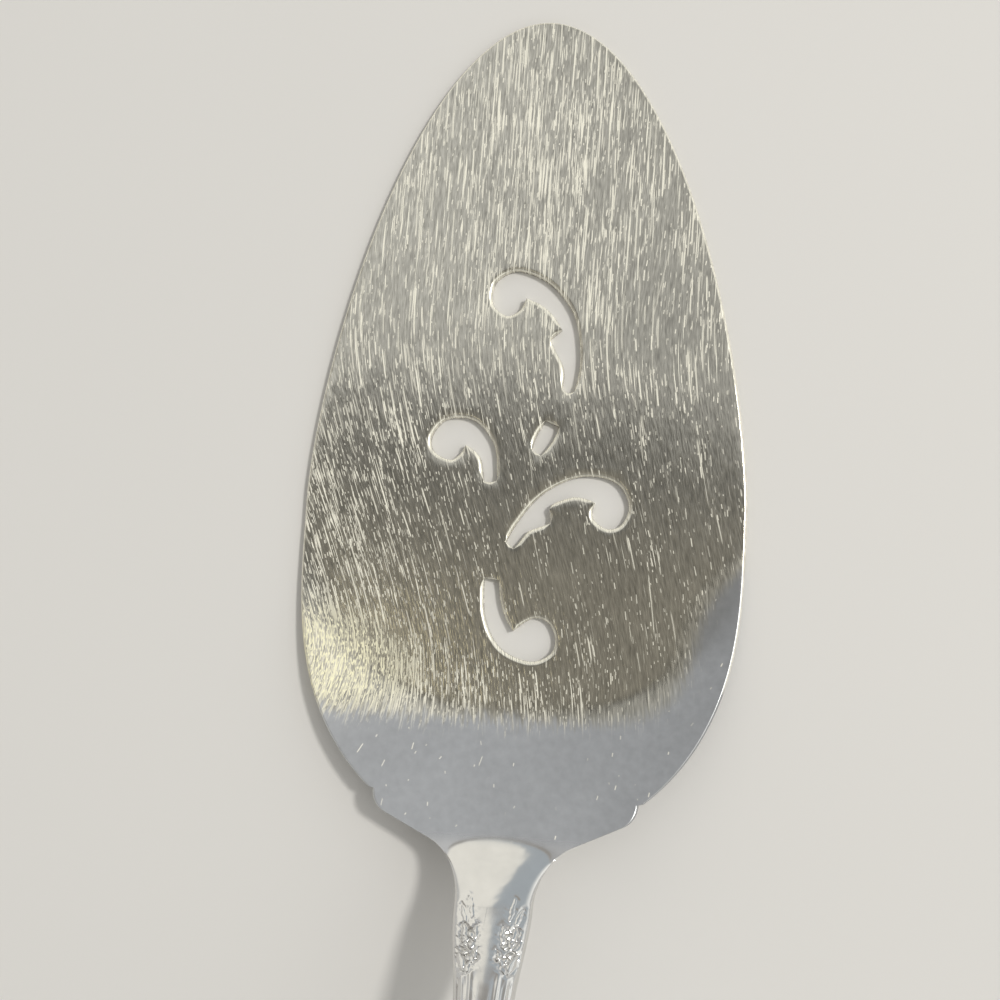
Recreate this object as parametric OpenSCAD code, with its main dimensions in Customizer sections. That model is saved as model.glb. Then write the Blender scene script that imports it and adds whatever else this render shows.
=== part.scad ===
// Pie server with a pierced blade, a dished heel and a hollow arched handle.
// Lengths are in millimetres. +Y runs to the tip, +X to the right seen from above, +Z up.
// The origin is the middle of the footprint, on the surface that the server lies on.
// Distances named "from the tip" run backwards along the server, from the tip to the handle's end.

/* [Blade] */
// Widest width of the blade
blade_width = 60; // [50:0.5:72]
// Length of the leaf-shaped front, from the tip to the parallel sides
tip_length = 68; // [56:0.5:82]
// Length of the parallel sides
parallel_length = 5; // [2:0.5:10]
// Length of the rounded heel, from the parallel sides to the shoulder corners
heel_length = 33.75; // [31:0.25:35]
// Length at which the heel's curve would close on the axis
heel_close = 40.2; // [38:0.1:46]
// Thickness of the blade's sheet
sheet = 1.3; // [1:0.05:2]

/* [Heel] */
// Length of the flat floor on the axis, behind the middle of the parallel sides
floor_length = 26.5; // [22:0.5:32]
// Half width at which the sides start to turn up
floor_half = 27.5; // [22:0.5:33]
// Rise of the heel over one more floor length
heel_rise = 8; // [4:0.25:11]
// Length over which the turned-up sides fade in
side_fade = 25; // [15:1:35]

/* [Shoulders] */
// Step in the outline at the shoulder corner
corner_step = 0.7; // [0.3:0.1:1.2]
// Radius of the small lobe behind the shoulder corner
lobe_radius = 3.2; // [2:0.1:4.5]
// Angle that the lobe turns through
lobe_angle = 65; // [50:1:75]
// Radius of the fillet from the shoulder to the neck
fillet_radius = 8; // [5:0.25:10]

/* [Piercing] */
// Distance from the tip to the middle of the scroll piercing
piercing_from_tip = 63; // [56:0.5:70]
// Size of the scroll piercing, 1 as photographed
piercing_scale = 1; // [0.7:0.05:1.15]

/* [Neck] */
// Width of the neck at the soldered seam
neck_width = 9.9; // [8.5:0.1:12]
// Thickness of the neck at the soldered seam
neck_thickness = 3.7; // [3:0.1:5]
// Height of the neck's middle where it leaves the heel
neck_height = 4.8; // [4:0.1:6.5]
// Slope of the neck where it leaves the heel, rise over run
neck_slope = 0.72; // [0.5:0.02:0.9]
// Distance from the shoulder corners to where the neck leaves the heel
neck_setback = 5.25; // [4:0.25:7]

/* [Handle] */
// Length of the hollow handle, from the seam to its end
handle_length = 138.3; // [110:0.1:170]
// Width of the waist, the handle's narrowest place
waist_width = 7.2; // [6:0.1:9]
// Thickness of the handle at the waist
waist_thickness = 6; // [5:0.1:8]
// Distance from the seam to the waist
waist_from_seam = 12.5; // [8:0.5:20]
// Width of the grip at its widest
grip_width = 21; // [16:0.5:26]
// Thickness of the grip at its widest
grip_thickness = 8.4; // [6:0.1:11]
// Length of the rounded end
end_round = 22; // [14:0.5:30]
// Height of the handle's middle at the top of its arch
arch_height = 22; // [17:0.5:28]
// Distance from the seam to the top of the arch
arch_from_seam = 38; // [28:0.5:50]
// Upright land along the handle's side seam
side_land = 0.3; // [0.2:0.05:0.5]

/* [Joints] */
// Wall of the handle's two shells
shell_wall = 0.7; // [0.5:0.05:1]
// Length of the tang inside the handle
tang_length = 38; // [25:1:60]
// Filler and clearance beside the tang at the waist
tang_side_cover = 0.9; // [0.6:0.05:1.2]
// Filler and clearance over the tang at the seam
tang_face_cover = 0.45; // [0.3:0.05:0.6]
// Clearance around the filler and around the tang
fit_clearance = 0.1; // [0.05:0.01:0.2]

/* [Hidden] */

// Exponents of the outline: how the tip draws in and how full it is, and how square the heel is
tip_draw = 1.49;
tip_fullness = 0.506;
heel_squareness = 2.6;
// Exponent of the floor's rounded corner, and the half width of its soft edge as a share of the floor
floor_squareness = 2.5;
floor_softness = 0.06;
// Rounding where the neck leaves the heel
crease_round = 0.4;
// How far the step at the shoulder corner leans back
corner_lean = 0.2;
// How far cutting shapes run past the faces that they cut, and how far the tang's root runs into the neck
cut_margin = 1;
tang_root = 0.4;

// Numbers of steps along and across the surfaces
tip_steps = 40;
heel_steps = 16;
lobe_steps = 5;
fillet_steps = 9;
column_steps = 24;
waist_steps = 6;
grip_steps = 18;
end_steps = 8;
half_ring_steps = 14;
tang_steps = 16;
curve_steps = 5;
end_angle = 86;

// Places measured from the tip
parallel_end = tip_length + parallel_length;
corner_place = parallel_end + heel_length;
neck_place = corner_place + neck_setback;
floor_start = tip_length + parallel_length / 2;
corner_half = heel_half(corner_place);
lobe_half = corner_half - corner_step - lobe_radius;
lobe_place = corner_place + corner_lean;
seam_place = (lobe_half * cos(lobe_angle) + lobe_place * sin(lobe_angle) + lobe_radius + fillet_radius
    - (neck_width / 2 + fillet_radius) * cos(lobe_angle)) / sin(lobe_angle);
waist_place = seam_place + waist_from_seam;
arch_place = seam_place + arch_from_seam;
overall_length = seam_place + handle_length;
grip_place = overall_length - end_round;
tip_y = overall_length / 2;
tang_width = waist_width - 2 * (shell_wall + tang_side_cover);
tang_thickness = neck_thickness - 2 * (shell_wall + tang_face_cover);

// Ease from 0 to 1 with level ends
function ease(t) = let (c = min(1, max(0, t))) c * c * (3 - 2 * c);

// Curve between two heights with a given slope at its start and a level end
function rise_curve(t, from, to, start_slope) =
    from + (to - from) * ease(t) + start_slope * (t * t * t - 2 * t * t + t);

// The larger of two values, with a rounded change from one to the other
function soft_max(a, b, r) = (a + b + sqrt((a - b) * (a - b) + r * r)) / 2;

// A value that is 0 up to 0, then itself, with a soft start
function soft_start(t, r) = t < -r ? 0 : t > r ? t : (t + r) * (t + r) / (4 * r);

// Half width of the leaf-shaped front and of the rounded heel at a distance from the tip
function front_half(s) = blade_width / 2 * pow(1 - pow(1 - s / tip_length, tip_draw), tip_fullness);
function heel_half(s) =
    blade_width / 2 * sqrt(1 - pow(max(0, s - parallel_end) / heel_close, heel_squareness));

// Half width of the handle along its length, up to the widest place of the grip
function handle_half(s) = s < waist_place
    ? neck_width / 2 + (waist_width - neck_width) / 2 * ease((s - seam_place) / waist_from_seam)
    : waist_width / 2 + (grip_width - waist_width) / 2 * ease((s - waist_place) / (grip_place - waist_place));

// Half thickness of the handle along its length
function handle_thick(s) = s < waist_place
    ? neck_thickness / 2 + (waist_thickness - neck_thickness) / 2 * ease((s - seam_place) / waist_from_seam)
    : waist_thickness / 2
        + (grip_thickness - waist_thickness) / 2 * ease((s - waist_place) / (grip_place - waist_place));

// Height of the middle of neck and handle: straight before the neck, over the arch, level at the grip's end
function middle(s) = s < neck_place ? neck_height + neck_slope * (s - neck_place)
    : s < arch_place ? rise_curve((s - neck_place) / (arch_place - neck_place), neck_height, arch_height,
        neck_slope * (arch_place - neck_place))
    : arch_height + (grip_thickness / 2 - arch_height) * ease((s - arch_place) / (grip_place - arch_place));

// Rise of the dished heel over the flat floor
function dish(x, s) =
    let (back = max(0, s - floor_start) / floor_length,
         side = abs(x) / floor_half,
         reach = pow(pow(back, floor_squareness) + pow(side, floor_squareness), 1 / floor_squareness))
    heel_rise * soft_start(reach - 1, floor_softness) * ease((s - floor_start) / side_fade);

// Share of the neck's round section at a distance from the tip
function roundness(s) = ease((s - corner_place) / (seam_place - corner_place));

// Height of the middle of the sheet, heel and neck
function blade_middle(x, s) =
    let (floor_middle = sheet / 2 + dish(x, s), share = roundness(s))
    s < corner_place ? floor_middle
        : middle(s) + (soft_max(floor_middle, middle(s), crease_round) - middle(s)) * (1 - share);

// Half thickness across the sheet, heel and neck, at a column from -1 to 1
function blade_thick(column, s) =
    let (share = roundness(s), crown = (neck_thickness - side_land) / 2 * sqrt(max(0, 1 - column * column)))
    (1 - share) * sheet / 2 + share * (side_land / 2 + crown);

// Points of the outline's right side behind the floor's front end, as [half width, distance from the tip]
heel_points = [for (i = [0 : heel_steps])
    let (s = floor_start + (corner_place - floor_start) * sin(90 * i / heel_steps)) [heel_half(s), s]];
lobe_points = [for (i = [0 : lobe_steps])
    let (a = lobe_angle * i / lobe_steps)
    [lobe_half + lobe_radius * cos(a), lobe_place + lobe_radius * sin(a)]];
fillet_points = [for (i = [0 : fillet_steps])
    let (a = lobe_angle * (1 - i / fillet_steps))
    [neck_width / 2 + fillet_radius * (1 - cos(a)), seam_place - fillet_radius * sin(a)]];
rear_points = concat(heel_points, lobe_points, fillet_points);

// Closed solid between a top and a bottom grid of points, both of rows along Y and columns from left to right
module slab(top, bottom) {
    rows = len(top);
    columns = len(top[0]);
    under = rows * columns;
    points = concat([for (row = top) each row], [for (row = bottom) each row]);
    function quad(a, b, c, d) = [[a, b, c], [a, c, d]];
    faces = concat(
        [for (i = [0 : rows - 2], j = [0 : columns - 2]) let (p = i * columns + j)
            each quad(p, p + 1, p + columns + 1, p + columns)],
        [for (i = [0 : rows - 2], j = [0 : columns - 2]) let (p = under + i * columns + j)
            each quad(p, p + columns, p + columns + 1, p + 1)],
        [for (i = [0 : rows - 2], side = [0, columns - 1]) let (p = i * columns + side, q = p + columns)
            each side == 0 ? quad(p, q, under + q, under + p) : quad(p, under + p, under + q, q)],
        [for (j = [0 : columns - 2], end = [0, rows - 1]) let (p = end * columns + j, q = p + 1)
            each end == 0 ? quad(p, under + p, under + q, q) : quad(p, q, under + q, under + p)]);
    polyhedron(points, faces);
}

// Smooth curve through points, without its last point, so that strokes join end to end
function stroke(points) =
    let (last = len(points) - 1)
    [for (i = [0 : last - 1], k = [0 : curve_steps - 1])
        let (t = k / curve_steps,
             a = points[max(0, i - 1)], b = points[i], c = points[i + 1], d = points[min(last, i + 2)])
        b + (c - a) / 2 * (t - 2 * t * t + t * t * t) + (c - b) * (3 * t * t - 2 * t * t * t)
            + (d - b) / 2 * (t * t * t - t * t)];

// One pierced scroll, bounded by smooth strokes that meet at corners
module scroll(strokes) {
    polygon([for (points = strokes) each stroke(points)]);
}

// The five scrolls, in millimetres from the middle of the piercing
module piercing() {
    // Front comma with a barb
    scroll([
        [[6.2, 10.4], [6.7, 14.9], [6, 19.8], [4.3, 23.1], [1.4, 25.8], [-2.5, 27.1], [-5.2, 25.8],
         [-5.9, 23.8], [-5.5, 21.9], [-3.7, 20.7], [-2, 21.5], [-1.1, 23.2]],
        [[-1.1, 23.2], [0.9, 22.4], [2.6, 21], [4, 19]],
        [[4, 19], [2.4, 17.6]],
        [[2.4, 17.6], [3.3, 15.9], [4.4, 13.9], [4.6, 12.3], [4.4, 10.7]],
        [[4.4, 10.7], [5.3, 10.2], [6.2, 10.4]]]);
    // Left comma
    scroll([
        [[-3.7, -2.3], [-4.1, 1.5], [-5, 3.7], [-6.9, 5.7], [-9.2, 6.3], [-11.6, 5.7], [-13.1, 3.5],
         [-12.7, 1.5], [-10.4, 0.4], [-9, 1.3], [-8.3, 2.5]],
        [[-8.3, 2.5], [-7, 1.7], [-6.1, 0.5], [-5.6, -2.2]],
        [[-5.6, -2.2], [-5.3, -2.5], [-3.7, -2.3]]]);
    // Short slot between the commas
    scroll([
        [[2.4, 6.3], [4.4, 5.5]],
        [[4.4, 5.5], [4.1, 3.7], [2.1, 1.4]],
        [[2.1, 1.4], [0.7, 2.2]],
        [[0.7, 2.2], [1.3, 4.2], [2.4, 6.3]]]);
    // Right comma with a barb
    scroll([
        [[-2.1, -10.5], [-0.8, -8], [1.5, -4.8], [4.2, -2.6], [7.5, -1.2], [10.7, -1.2], [12.9, -2.2],
         [14.1, -4.2], [14.2, -5.8], [13.2, -7.6], [11.5, -8.1], [9.8, -7.1], [9.4, -5.9], [9.7, -4.7]],
        [[9.7, -4.7], [8.9, -4.3], [6.8, -4], [4.3, -4.9], [3.6, -5.8]],
        [[3.6, -5.8], [3.9, -7.7]],
        [[3.9, -7.7], [1.3, -8.7], [0.5, -9.4], [-0.9, -11.4]],
        [[-0.9, -11.4], [-2.1, -10.5]]]);
    // Rear comma
    scroll([
        [[-2.7, -15.7], [-2.4, -18.2], [-1.6, -20.6], [-0.4, -22.4]],
        [[-0.4, -22.4], [1.2, -21.1], [2.7, -20.5], [4.4, -21.2], [5.3, -23.2], [4.9, -25], [3.1, -26.2],
         [1, -26.2], [-1.6, -25.1], [-3.3, -23.2], [-4.4, -20.4], [-4.7, -17.5], [-4.7, -15.5]],
        [[-4.7, -15.5], [-2.7, -15.7]]]);
}

// Flat front of the blade, up to the place where the sides start to turn up
module blade_front() {
    right_side = concat(
        [for (i = [1 : tip_steps])
            let (s = tip_length * (1 - cos(90 * i / tip_steps))) [front_half(s), tip_y - s]],
        [[blade_width / 2, tip_y - floor_start]]);
    left_side = [for (i = [len(right_side) - 1 : -1 : 0]) [-right_side[i].x, right_side[i].y]];
    linear_extrude(sheet) polygon(concat([[0, tip_y]], right_side, left_side));
}

// Dished heel and neck, from the flat front to the seam
module blade_heel() {
    function row(point, sign) = [for (j = [0 : column_steps])
        let (column = sin(180 * j / column_steps - 90), x = point[0] * column, s = point[1])
        [x, tip_y - s, blade_middle(x, s) + sign * blade_thick(column, s)]];
    slab([for (p = rear_points) row(p, 1)], [for (p = rear_points) row(p, -1)]);
}

// Flat tang along the middle of the handle; grow widens it, and lead starts it ahead of the seam
module tang(grow, lead) {
    function edge(s, sign) = [for (side = [-1, 1])
        [side * (tang_width / 2 + grow), tip_y - s, middle(s) + sign * (tang_thickness / 2 + grow)]];
    places = [for (i = [0 : tang_steps]) seam_place - lead + (lead + tang_length + grow) * i / tang_steps];
    slab([for (s = places) edge(s, 1)], [for (s = places) edge(s, -1)]);
}

// Places along the handle as [distance from the tip, share of width and thickness], inset from its end
function handle_places(inset) = concat(
    [for (i = [0 : waist_steps]) [seam_place + waist_from_seam * i / waist_steps, 1]],
    [for (i = [1 : grip_steps]) [waist_place + (grip_place - waist_place) * i / grip_steps, 1]],
    [for (i = [1 : end_steps]) let (a = end_angle * i / end_steps)
        [grip_place + (end_round - inset) * sin(a) / sin(end_angle), cos(a)]]);

// Half of the handle's form above (sign 1) or below (sign -1) its side seam, inset all round;
// past carries its flat face over the seam and its front over the neck, for cutting
function half_ring(place, share, inset, sign) = [for (j = [0 : half_ring_steps])
    let (a = 180 * j / half_ring_steps,
         half = (handle_half(place) - inset) * share,
         crown = (handle_thick(place) - side_land / 2 - inset) * sqrt(share))
    [-half * cos(a), tip_y - place, middle(place) + sign * (side_land / 2 + crown * sin(a))]];
function flat_ring(ring, place, sign, past) =
    [for (p = ring) [p.x, p.y, middle(place) - sign * past]];
module handle_half_form(inset, sign, past) {
    places = concat(past > 0 ? [[seam_place - past, 1]] : [], handle_places(inset));
    curved = [for (p = places) half_ring(p[0], p[1], inset, sign)];
    flat = [for (i = [0 : len(places) - 1]) flat_ring(curved[i], places[i][0], sign, past)];
    if (sign > 0)
        slab(curved, flat);
    else
        slab(flat, curved);
}

// One half of the hollow handle
module handle_shell(sign) {
    difference() {
        handle_half_form(0, sign, 0);
        handle_half_form(shell_wall, sign, cut_margin);
    }
}

// Stainless blade with its heel, neck and tang, pierced with five scrolls
module blade() {
    color("silver") {
        difference() {
            union() {
                blade_front();
                blade_heel();
            }
            translate([0, tip_y - piercing_from_tip, -cut_margin])
                linear_extrude(sheet + 2 * cut_margin) scale(piercing_scale) piercing();
        }
        tang(0, tang_root);
    }
}

// Upper struck shell of the handle
module handle_top_shell() {
    color("gainsboro") handle_shell(1);
}

// Lower struck shell of the handle
module handle_bottom_shell() {
    color("lightgray") handle_shell(-1);
}

// Cement that fills the handle and holds the tang
module handle_filler() {
    inset = shell_wall + fit_clearance;
    color("dimgray") difference() {
        slab([for (p = handle_places(inset)) half_ring(p[0], p[1], inset, 1)],
             [for (p = handle_places(inset)) half_ring(p[0], p[1], inset, -1)]);
        tang(fit_clearance, cut_margin);
    }
}

blade();
handle_top_shell();
handle_bottom_shell();
handle_filler();
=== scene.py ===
"""Looks of a stainless pie server: pierced blade, struck hollow handle, finishes, light and camera."""

import bmesh
import bpy
import numpy as np
from mathutils import Matrix, Vector, geometry


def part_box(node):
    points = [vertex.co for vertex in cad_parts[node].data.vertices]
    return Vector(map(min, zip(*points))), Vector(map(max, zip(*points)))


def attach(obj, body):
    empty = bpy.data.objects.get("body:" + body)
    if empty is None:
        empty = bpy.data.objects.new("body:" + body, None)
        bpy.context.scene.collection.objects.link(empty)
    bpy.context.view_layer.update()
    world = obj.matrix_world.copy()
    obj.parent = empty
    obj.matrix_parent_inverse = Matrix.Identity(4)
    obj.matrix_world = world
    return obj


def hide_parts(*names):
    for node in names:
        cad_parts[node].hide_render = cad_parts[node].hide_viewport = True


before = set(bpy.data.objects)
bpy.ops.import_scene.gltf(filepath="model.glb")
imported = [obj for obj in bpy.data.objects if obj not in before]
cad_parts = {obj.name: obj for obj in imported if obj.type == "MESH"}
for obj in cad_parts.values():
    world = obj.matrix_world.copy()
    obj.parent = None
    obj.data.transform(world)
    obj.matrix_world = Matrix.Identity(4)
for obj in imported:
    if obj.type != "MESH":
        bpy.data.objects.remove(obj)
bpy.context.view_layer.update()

bl_info = {
    "name": "Pie Server Looks",
    "version": (1, 0, 0),
    "blender": (4, 5, 0),
    "location": "View3D > Sidebar > Pie Server",
    "description": "Builds the visible pieces, finishes and stage of a pierced pie server",
    "category": "Object",
}

MM = 0.001

# Places and sizes taken from the frame. Places run backwards from the tip along the server.
BLADE_LOW, BLADE_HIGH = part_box("blade")
SHELL_LOW, SHELL_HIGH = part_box("handle_top_shell")
TIP_Y = BLADE_HIGH.y
BLADE_HALF = BLADE_HIGH.x
GRIP_HALF = SHELL_HIGH.x
SEAM = TIP_Y - SHELL_HIGH.y
LENGTH = TIP_Y - SHELL_LOW.y
TANG_END = TIP_Y - BLADE_LOW.y

# Outline of the blade
TIP_LENGTH = 68 * MM
TIP_DRAW = 1.49
TIP_FULLNESS = 0.506
PARALLEL_END = 73 * MM
HEEL_CLOSE = 40.2 * MM
HEEL_SQUARENESS = 2.6
CORNER = 106.75 * MM
CORNER_STEP = 0.7 * MM
CORNER_LEAN = 0.2 * MM
LOBE_RADIUS = 3.2 * MM
LOBE_ANGLE = 65
FILLET_RADIUS = 8 * MM

# Floor, heel and neck
SHEET = 1.3 * MM
FLOOR_START = 70.5 * MM
FLOOR_LENGTH = 26.5 * MM
FLOOR_HALF = 27.5 * MM
FLOOR_SQUARENESS = 2.5
FLOOR_SOFTNESS = 0.06
HEEL_RISE = 8 * MM
SIDE_FADE = 25 * MM
NECK_PLACE = CORNER + 5.25 * MM
NECK_HALF = 4.95 * MM
NECK_THICK = 1.85 * MM
NECK_HEIGHT = 4.8 * MM
NECK_SLOPE = 0.72
NECK_CROWN = 0.95 * MM
NECK_CROWN_RADIUS = 25 * MM
NECK_SINK = 0.75 * MM
CREASE_ROUND = 0.4 * MM
SIDE_LAND = 0.15 * MM

# Handle and tang
WAIST = SEAM + 12.5 * MM
WAIST_HALF = 3.6 * MM
WAIST_THICK = 3 * MM
GRIP_THICK = 4.2 * MM
END_ROUND = 22 * MM
GRIP = LENGTH - END_ROUND
ARCH = SEAM + 38 * MM
ARCH_HEIGHT = 22 * MM
SHELL_WALL = 0.7 * MM
FACET_GAP = 0.07 * MM
TANG_HALF = 2 * MM
TANG_THICK = 0.7 * MM
TANG_ROOT = 0.4 * MM

# The flat front of the blade is cut from a plate up to the join, and rows of sections follow behind it
JOIN = 92 * MM
JOIN_BLEND = 8 * MM
FLAT_SPACING = 1.1 * MM
DISH_SPACING = 0.5 * MM
PIERCING_PLACE = 63 * MM
PIERCING_CORNER_FADE = 1.1 * MM
PIERCING_CORNER_LEAST = 0.03

# Shares: lower chamfer of a scroll's wall in the rollover, edge rounding that is lost at the seam, and the
# distance between rows of fill points in their spacing
WALL_CHAMFER = 0.25
SEAM_EDGE_LOSS = 0.8
STAGGER = 0.866

# Settings of the meshes: mode of the plate's triangulation, distances at which points are one, and a number
# that keeps a division from failing
INSIDE_WITH_HOLES = 2
SAME_POINT = 1e-7
MERGE_DISTANCE = 1e-6
TINY = 1e-9

# Worn edges with a painted highlight: the side of a scroll that is worn and lit most, the least share on the
# others, and the share on the rim
EDGE_GLINT_SIDE = (-0.3, -0.7)
EDGE_WEAR_AND_GLINT_LEAST = 0.2
RIM_WEAR_AND_GLINT = 0.9

# Numbers of steps along and across the surfaces, and the lengths of handle with close rows and with wide rows
TIP_STEPS = 110
SIDE_STEPS = 30
HEEL_ROWS = 64
LOBE_ROWS = 12
SHOULDER_ROWS = 16
FILLET_ROWS = 60
BLADE_COLUMNS = 120
EDGE_STEPS = 12
STROKE_STEPS = 9
ROLLOVER_STEPS = 6
SPRIG_SPAN = 12 * MM
SPRIG_ROWS = 190
RIB_SPAN = 80 * MM
RIB_ROWS = 70
GRIP_ROWS = 110
END_ROWS = 120
HANDLE_COLUMNS = 150
INNER_COLUMNS = 12
TANG_ROWS = 18

# The five pierced scrolls as strokes that meet at corners, in millimetres from the piercing's middle,
# to the right and towards the tip
FRONT_COMMA = [
    [(6.2, 10.4), (6.7, 14.9), (6, 19.8), (4.3, 23.1), (1.4, 25.8), (-2.5, 27.1), (-5.2, 25.8),
     (-5.9, 23.8), (-5.5, 21.9), (-3.7, 20.7), (-2, 21.5), (-1.1, 23.2)],
    [(-1.1, 23.2), (0.9, 22.4), (2.6, 21), (4, 19)],
    [(4, 19), (2.4, 17.6)],
    [(2.4, 17.6), (3.3, 15.9), (4.4, 13.9), (4.6, 12.3), (4.4, 10.7)],
    [(4.4, 10.7), (5.3, 10.2), (6.2, 10.4)],
]
LEFT_COMMA = [
    [(-3.7, -2.3), (-4.1, 1.5), (-5, 3.7), (-6.9, 5.7), (-9.2, 6.3), (-11.6, 5.7), (-13.1, 3.5),
     (-12.7, 1.5), (-10.4, 0.4), (-9, 1.3), (-8.3, 2.5)],
    [(-8.3, 2.5), (-7, 1.7), (-6.1, 0.5), (-5.6, -2.2)],
    [(-5.6, -2.2), (-5.3, -2.5), (-3.7, -2.3)],
]
SHORT_SLOT = [
    [(2.4, 6.3), (4.4, 5.5)],
    [(4.4, 5.5), (3.5, 3.5), (2.1, 1.4)],
    [(2.1, 1.4), (0.7, 2.2)],
    [(0.7, 2.2), (1.3, 4.2), (2.4, 6.3)],
]
RIGHT_COMMA = [
    [(-2.1, -10.5), (-0.8, -8), (1.5, -4.8), (4.2, -2.6), (7.5, -1.2), (10.7, -1.2), (12.9, -2.2),
     (14.1, -4.2), (14.2, -5.8), (13.2, -7.6), (11.5, -8.1), (9.8, -7.1), (9.4, -5.9), (9.7, -4.7)],
    [(9.7, -4.7), (8.9, -4.3), (6.8, -4), (4.3, -4.9), (3.6, -5.8)],
    [(3.6, -5.8), (3.9, -7.7)],
    [(3.9, -7.7), (1.3, -8.7), (0.5, -9.4), (-0.9, -11.4)],
    [(-0.9, -11.4), (-2.1, -10.5)],
]
REAR_COMMA = [
    [(-2.7, -15.7), (-2.4, -18.2), (-1.6, -20.6), (-0.4, -22.4)],
    [(-0.4, -22.4), (1.2, -21.1), (2.7, -20.5), (4.4, -21.2), (5.3, -23.2), (4.9, -25), (3.1, -26.2),
     (1, -26.2), (-1.6, -25.1), (-3.3, -23.2), (-4.4, -20.4), (-4.7, -17.5), (-4.7, -15.5)],
    [(-4.7, -15.5), (-2.7, -15.7)],
]
SCROLLS = [FRONT_COMMA, LEFT_COMMA, SHORT_SLOT, RIGHT_COMMA, REAR_COMMA]

# Leaves of one sprig as base, tip, half width and share of the relief's height, and buds as centre and
# radius, in millimetres from the axis and from the tip of the server. The sprig on the other side is its
# mirror image.
SPRIG = [
    ((2.35, 121.3), (2.8, 118.7), 0.30, 0.35),
    ((3.05, 121.9), (3.85, 120.0), 0.30, 0.45),
    ((2.05, 124.6), (1.6, 121.9), 0.38, 0.6),
    ((2.75, 124.4), (3.3, 121.9), 0.42, 0.8),
    ((2.2, 126.3), (1.25, 124.5), 0.36, 0.7),
    ((2.75, 126.9), (3.6, 125.0), 0.42, 0.7),
    ((2.35, 127.0), (1.9, 125.3), 0.34, 0.6),
]
BUDS = [
    ((2.35, 123.0), 0.36),
    ((3.1, 123.7), 0.34),
    ((2.15, 124.1), 0.38),
    ((2.85, 125.0), 0.40),
    ((1.55, 125.2), 0.30),
    ((2.3, 125.6), 0.36),
]

# Shape of the leaves, the ribs and the ditches round them. A rib has its share of the half width at the
# waist and at the grip, and the place where it starts behind the sprig. A wave of the wander has its turns
# along and across, and its share.
LEAF_SWELL = 0.8
VEIN_DEPTH = 0.2
VEIN_WIDTH = 0.3
SPRIG_DITCH = 0.4
WANDER = 0.07
WANDER_WAVES = [(5.1, 2.3, 1.0), (11.0, -7.0, 0.6)]
RIBS = [(0.42, 0.60, 126.2), (0.70, 0.78, 127.0), (0.90, 0.91, 127.4)]
RIB_SPREAD = 1.2
RIB_FADE = 1.6 * MM
RIB_CLOSE = 6 * MM
RIB_END = 6 * MM
RIB_DITCH = 1.9
SIDE_MARGIN = 0.35
END_MARGIN = 8 * MM
PATINA_START = 0.5
PATINA_RANGE = 0.6

# Spray of leaves near the handle's end as angles from the axis and lengths in millimetres, both sides alike
SPRAY = [(0, 12.5), (26, 12), (53, 10.5), (82, 8)]
SPRAY_SWELL = 2
SPRAY_FOOT = 27
SPRAY_CORE = 1.2
SPRAY_LEAF_HALF = 1.5
SPRAY_STEM = 9
SPRAY_STEM_HALF = 0.8
SPRAY_DITCH = 0.9

# Scratches on the blade, in millimetres. They sweep across it from the tip to the heel, more so on the left,
# where they turn back at the heel.
SWEEP_START = -0.02
SWEEP_SPAN = (42.0, 104.0)
SWEEP = 14.5
SWEEP_FLARE = 0.011
HEEL_TURN_SPAN = (85.0, 105.0)
HEEL_TURN_SIDE = (-30.0, 2.0)
HEEL_TURN = 6.5

# The scratched floor ends in a ragged edge behind and on the right. A reach of 1 is that edge. The pairs give
# where heel, the painted shade at the bend, fading of the scratches, bare rim and polished neck begin and are
# complete.
SCRATCH_LENGTH = 26.9
SCRATCH_HALF = 24.6
SCRATCH_SQUARENESS = 4.5
SCRATCH_SIDE_SPAN = (48.0, 86.0)
RAGGED_SPAN = (-4.0, 16.0, 0.2, 0.06)
HEEL_REACH = (0.94, 1.04)
BEND_SHADE_REACH = (0.86, 0.95)
FADE_REACH = (0.88, 1.1)
RIM_SPAN = (0.3, 0.8)
NECK_SPAN = (111.5, 113.5)

# Shares of wear on the blade and where they lie, and spots with more wear as centre, radii and extra share.
# A spot fades between two squared distances from its centre, in radii.
LEAST_WEAR = 0.15
FRONT_WEAR = 0.38
LEFT_WEAR = 0.36
GLOW_PATCH_WEAR = 0.40
RIGHT_WEAR = 0.08
CLUSTER_WEAR = 0.7
CLUMP_WEAR = 0.6
FRONT_SPAN = (44.0, 68.0)
LEFT_SPAN = (-28.0, 2.0)
RIGHT_SPAN = (4.0, 26.0)
# The worn patch is partly wear and partly a painted warm glow: its dense yellow scratches stand in for the
# reflection of a warm lamp.
WORN_GLOW_PATCH = ((-29.5, 91.0), (18.0, 9.0))
WEAR_SPOTS = [
    ((2.0, 24.0), (14.0, 17.0), 0.16),
    ((-6.0, 95.0), (16.0, 7.0), 0.34),
    ((22.0, 58.0), (10.0, 9.0), 0.06),
]
SPOT_FADE = (0.1, 1.3)

# Layers of drawn-out noise as width and length of a cell and seed
MID_NOISE = 0.5
RAGGED = (0.5, 2.5, 21.0)
CLUSTERS = (3.5, 16.0, 31.0)
CLUMPS = (1.4, 7.0, 32.0)
SHORT_GLINTS = (0.17, 1.8, 2.0)
MIDDLE_GLINTS = (0.20, 3.2, 1.0)
LONG_GLINTS = (0.21, 9.0, 3.0)
DOTS = (0.2, 0.8, 4.0)
HAIRS = (0.19, 1.6, 7.0)
STRANDS = (0.42, 4.5, 8.0)

# A glint shows where its noise is over a level, which falls as wear grows
GLINT_SOFTNESS = 0.09
GLINT_LEVEL = 0.75
GLINT_GAIN = 0.26
GLINT_LEAST = 0.55
SHORT_RAISE = 0.02
SHORT_FRONT_RAISE = 0.04
MIDDLE_FRONT_RAISE = 0.03
SHORT_STRENGTH = 0.7
PATCH_THINNING = 0.6
DOT_LEVEL = 0.76
DOT_GAIN = 0.245

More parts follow.
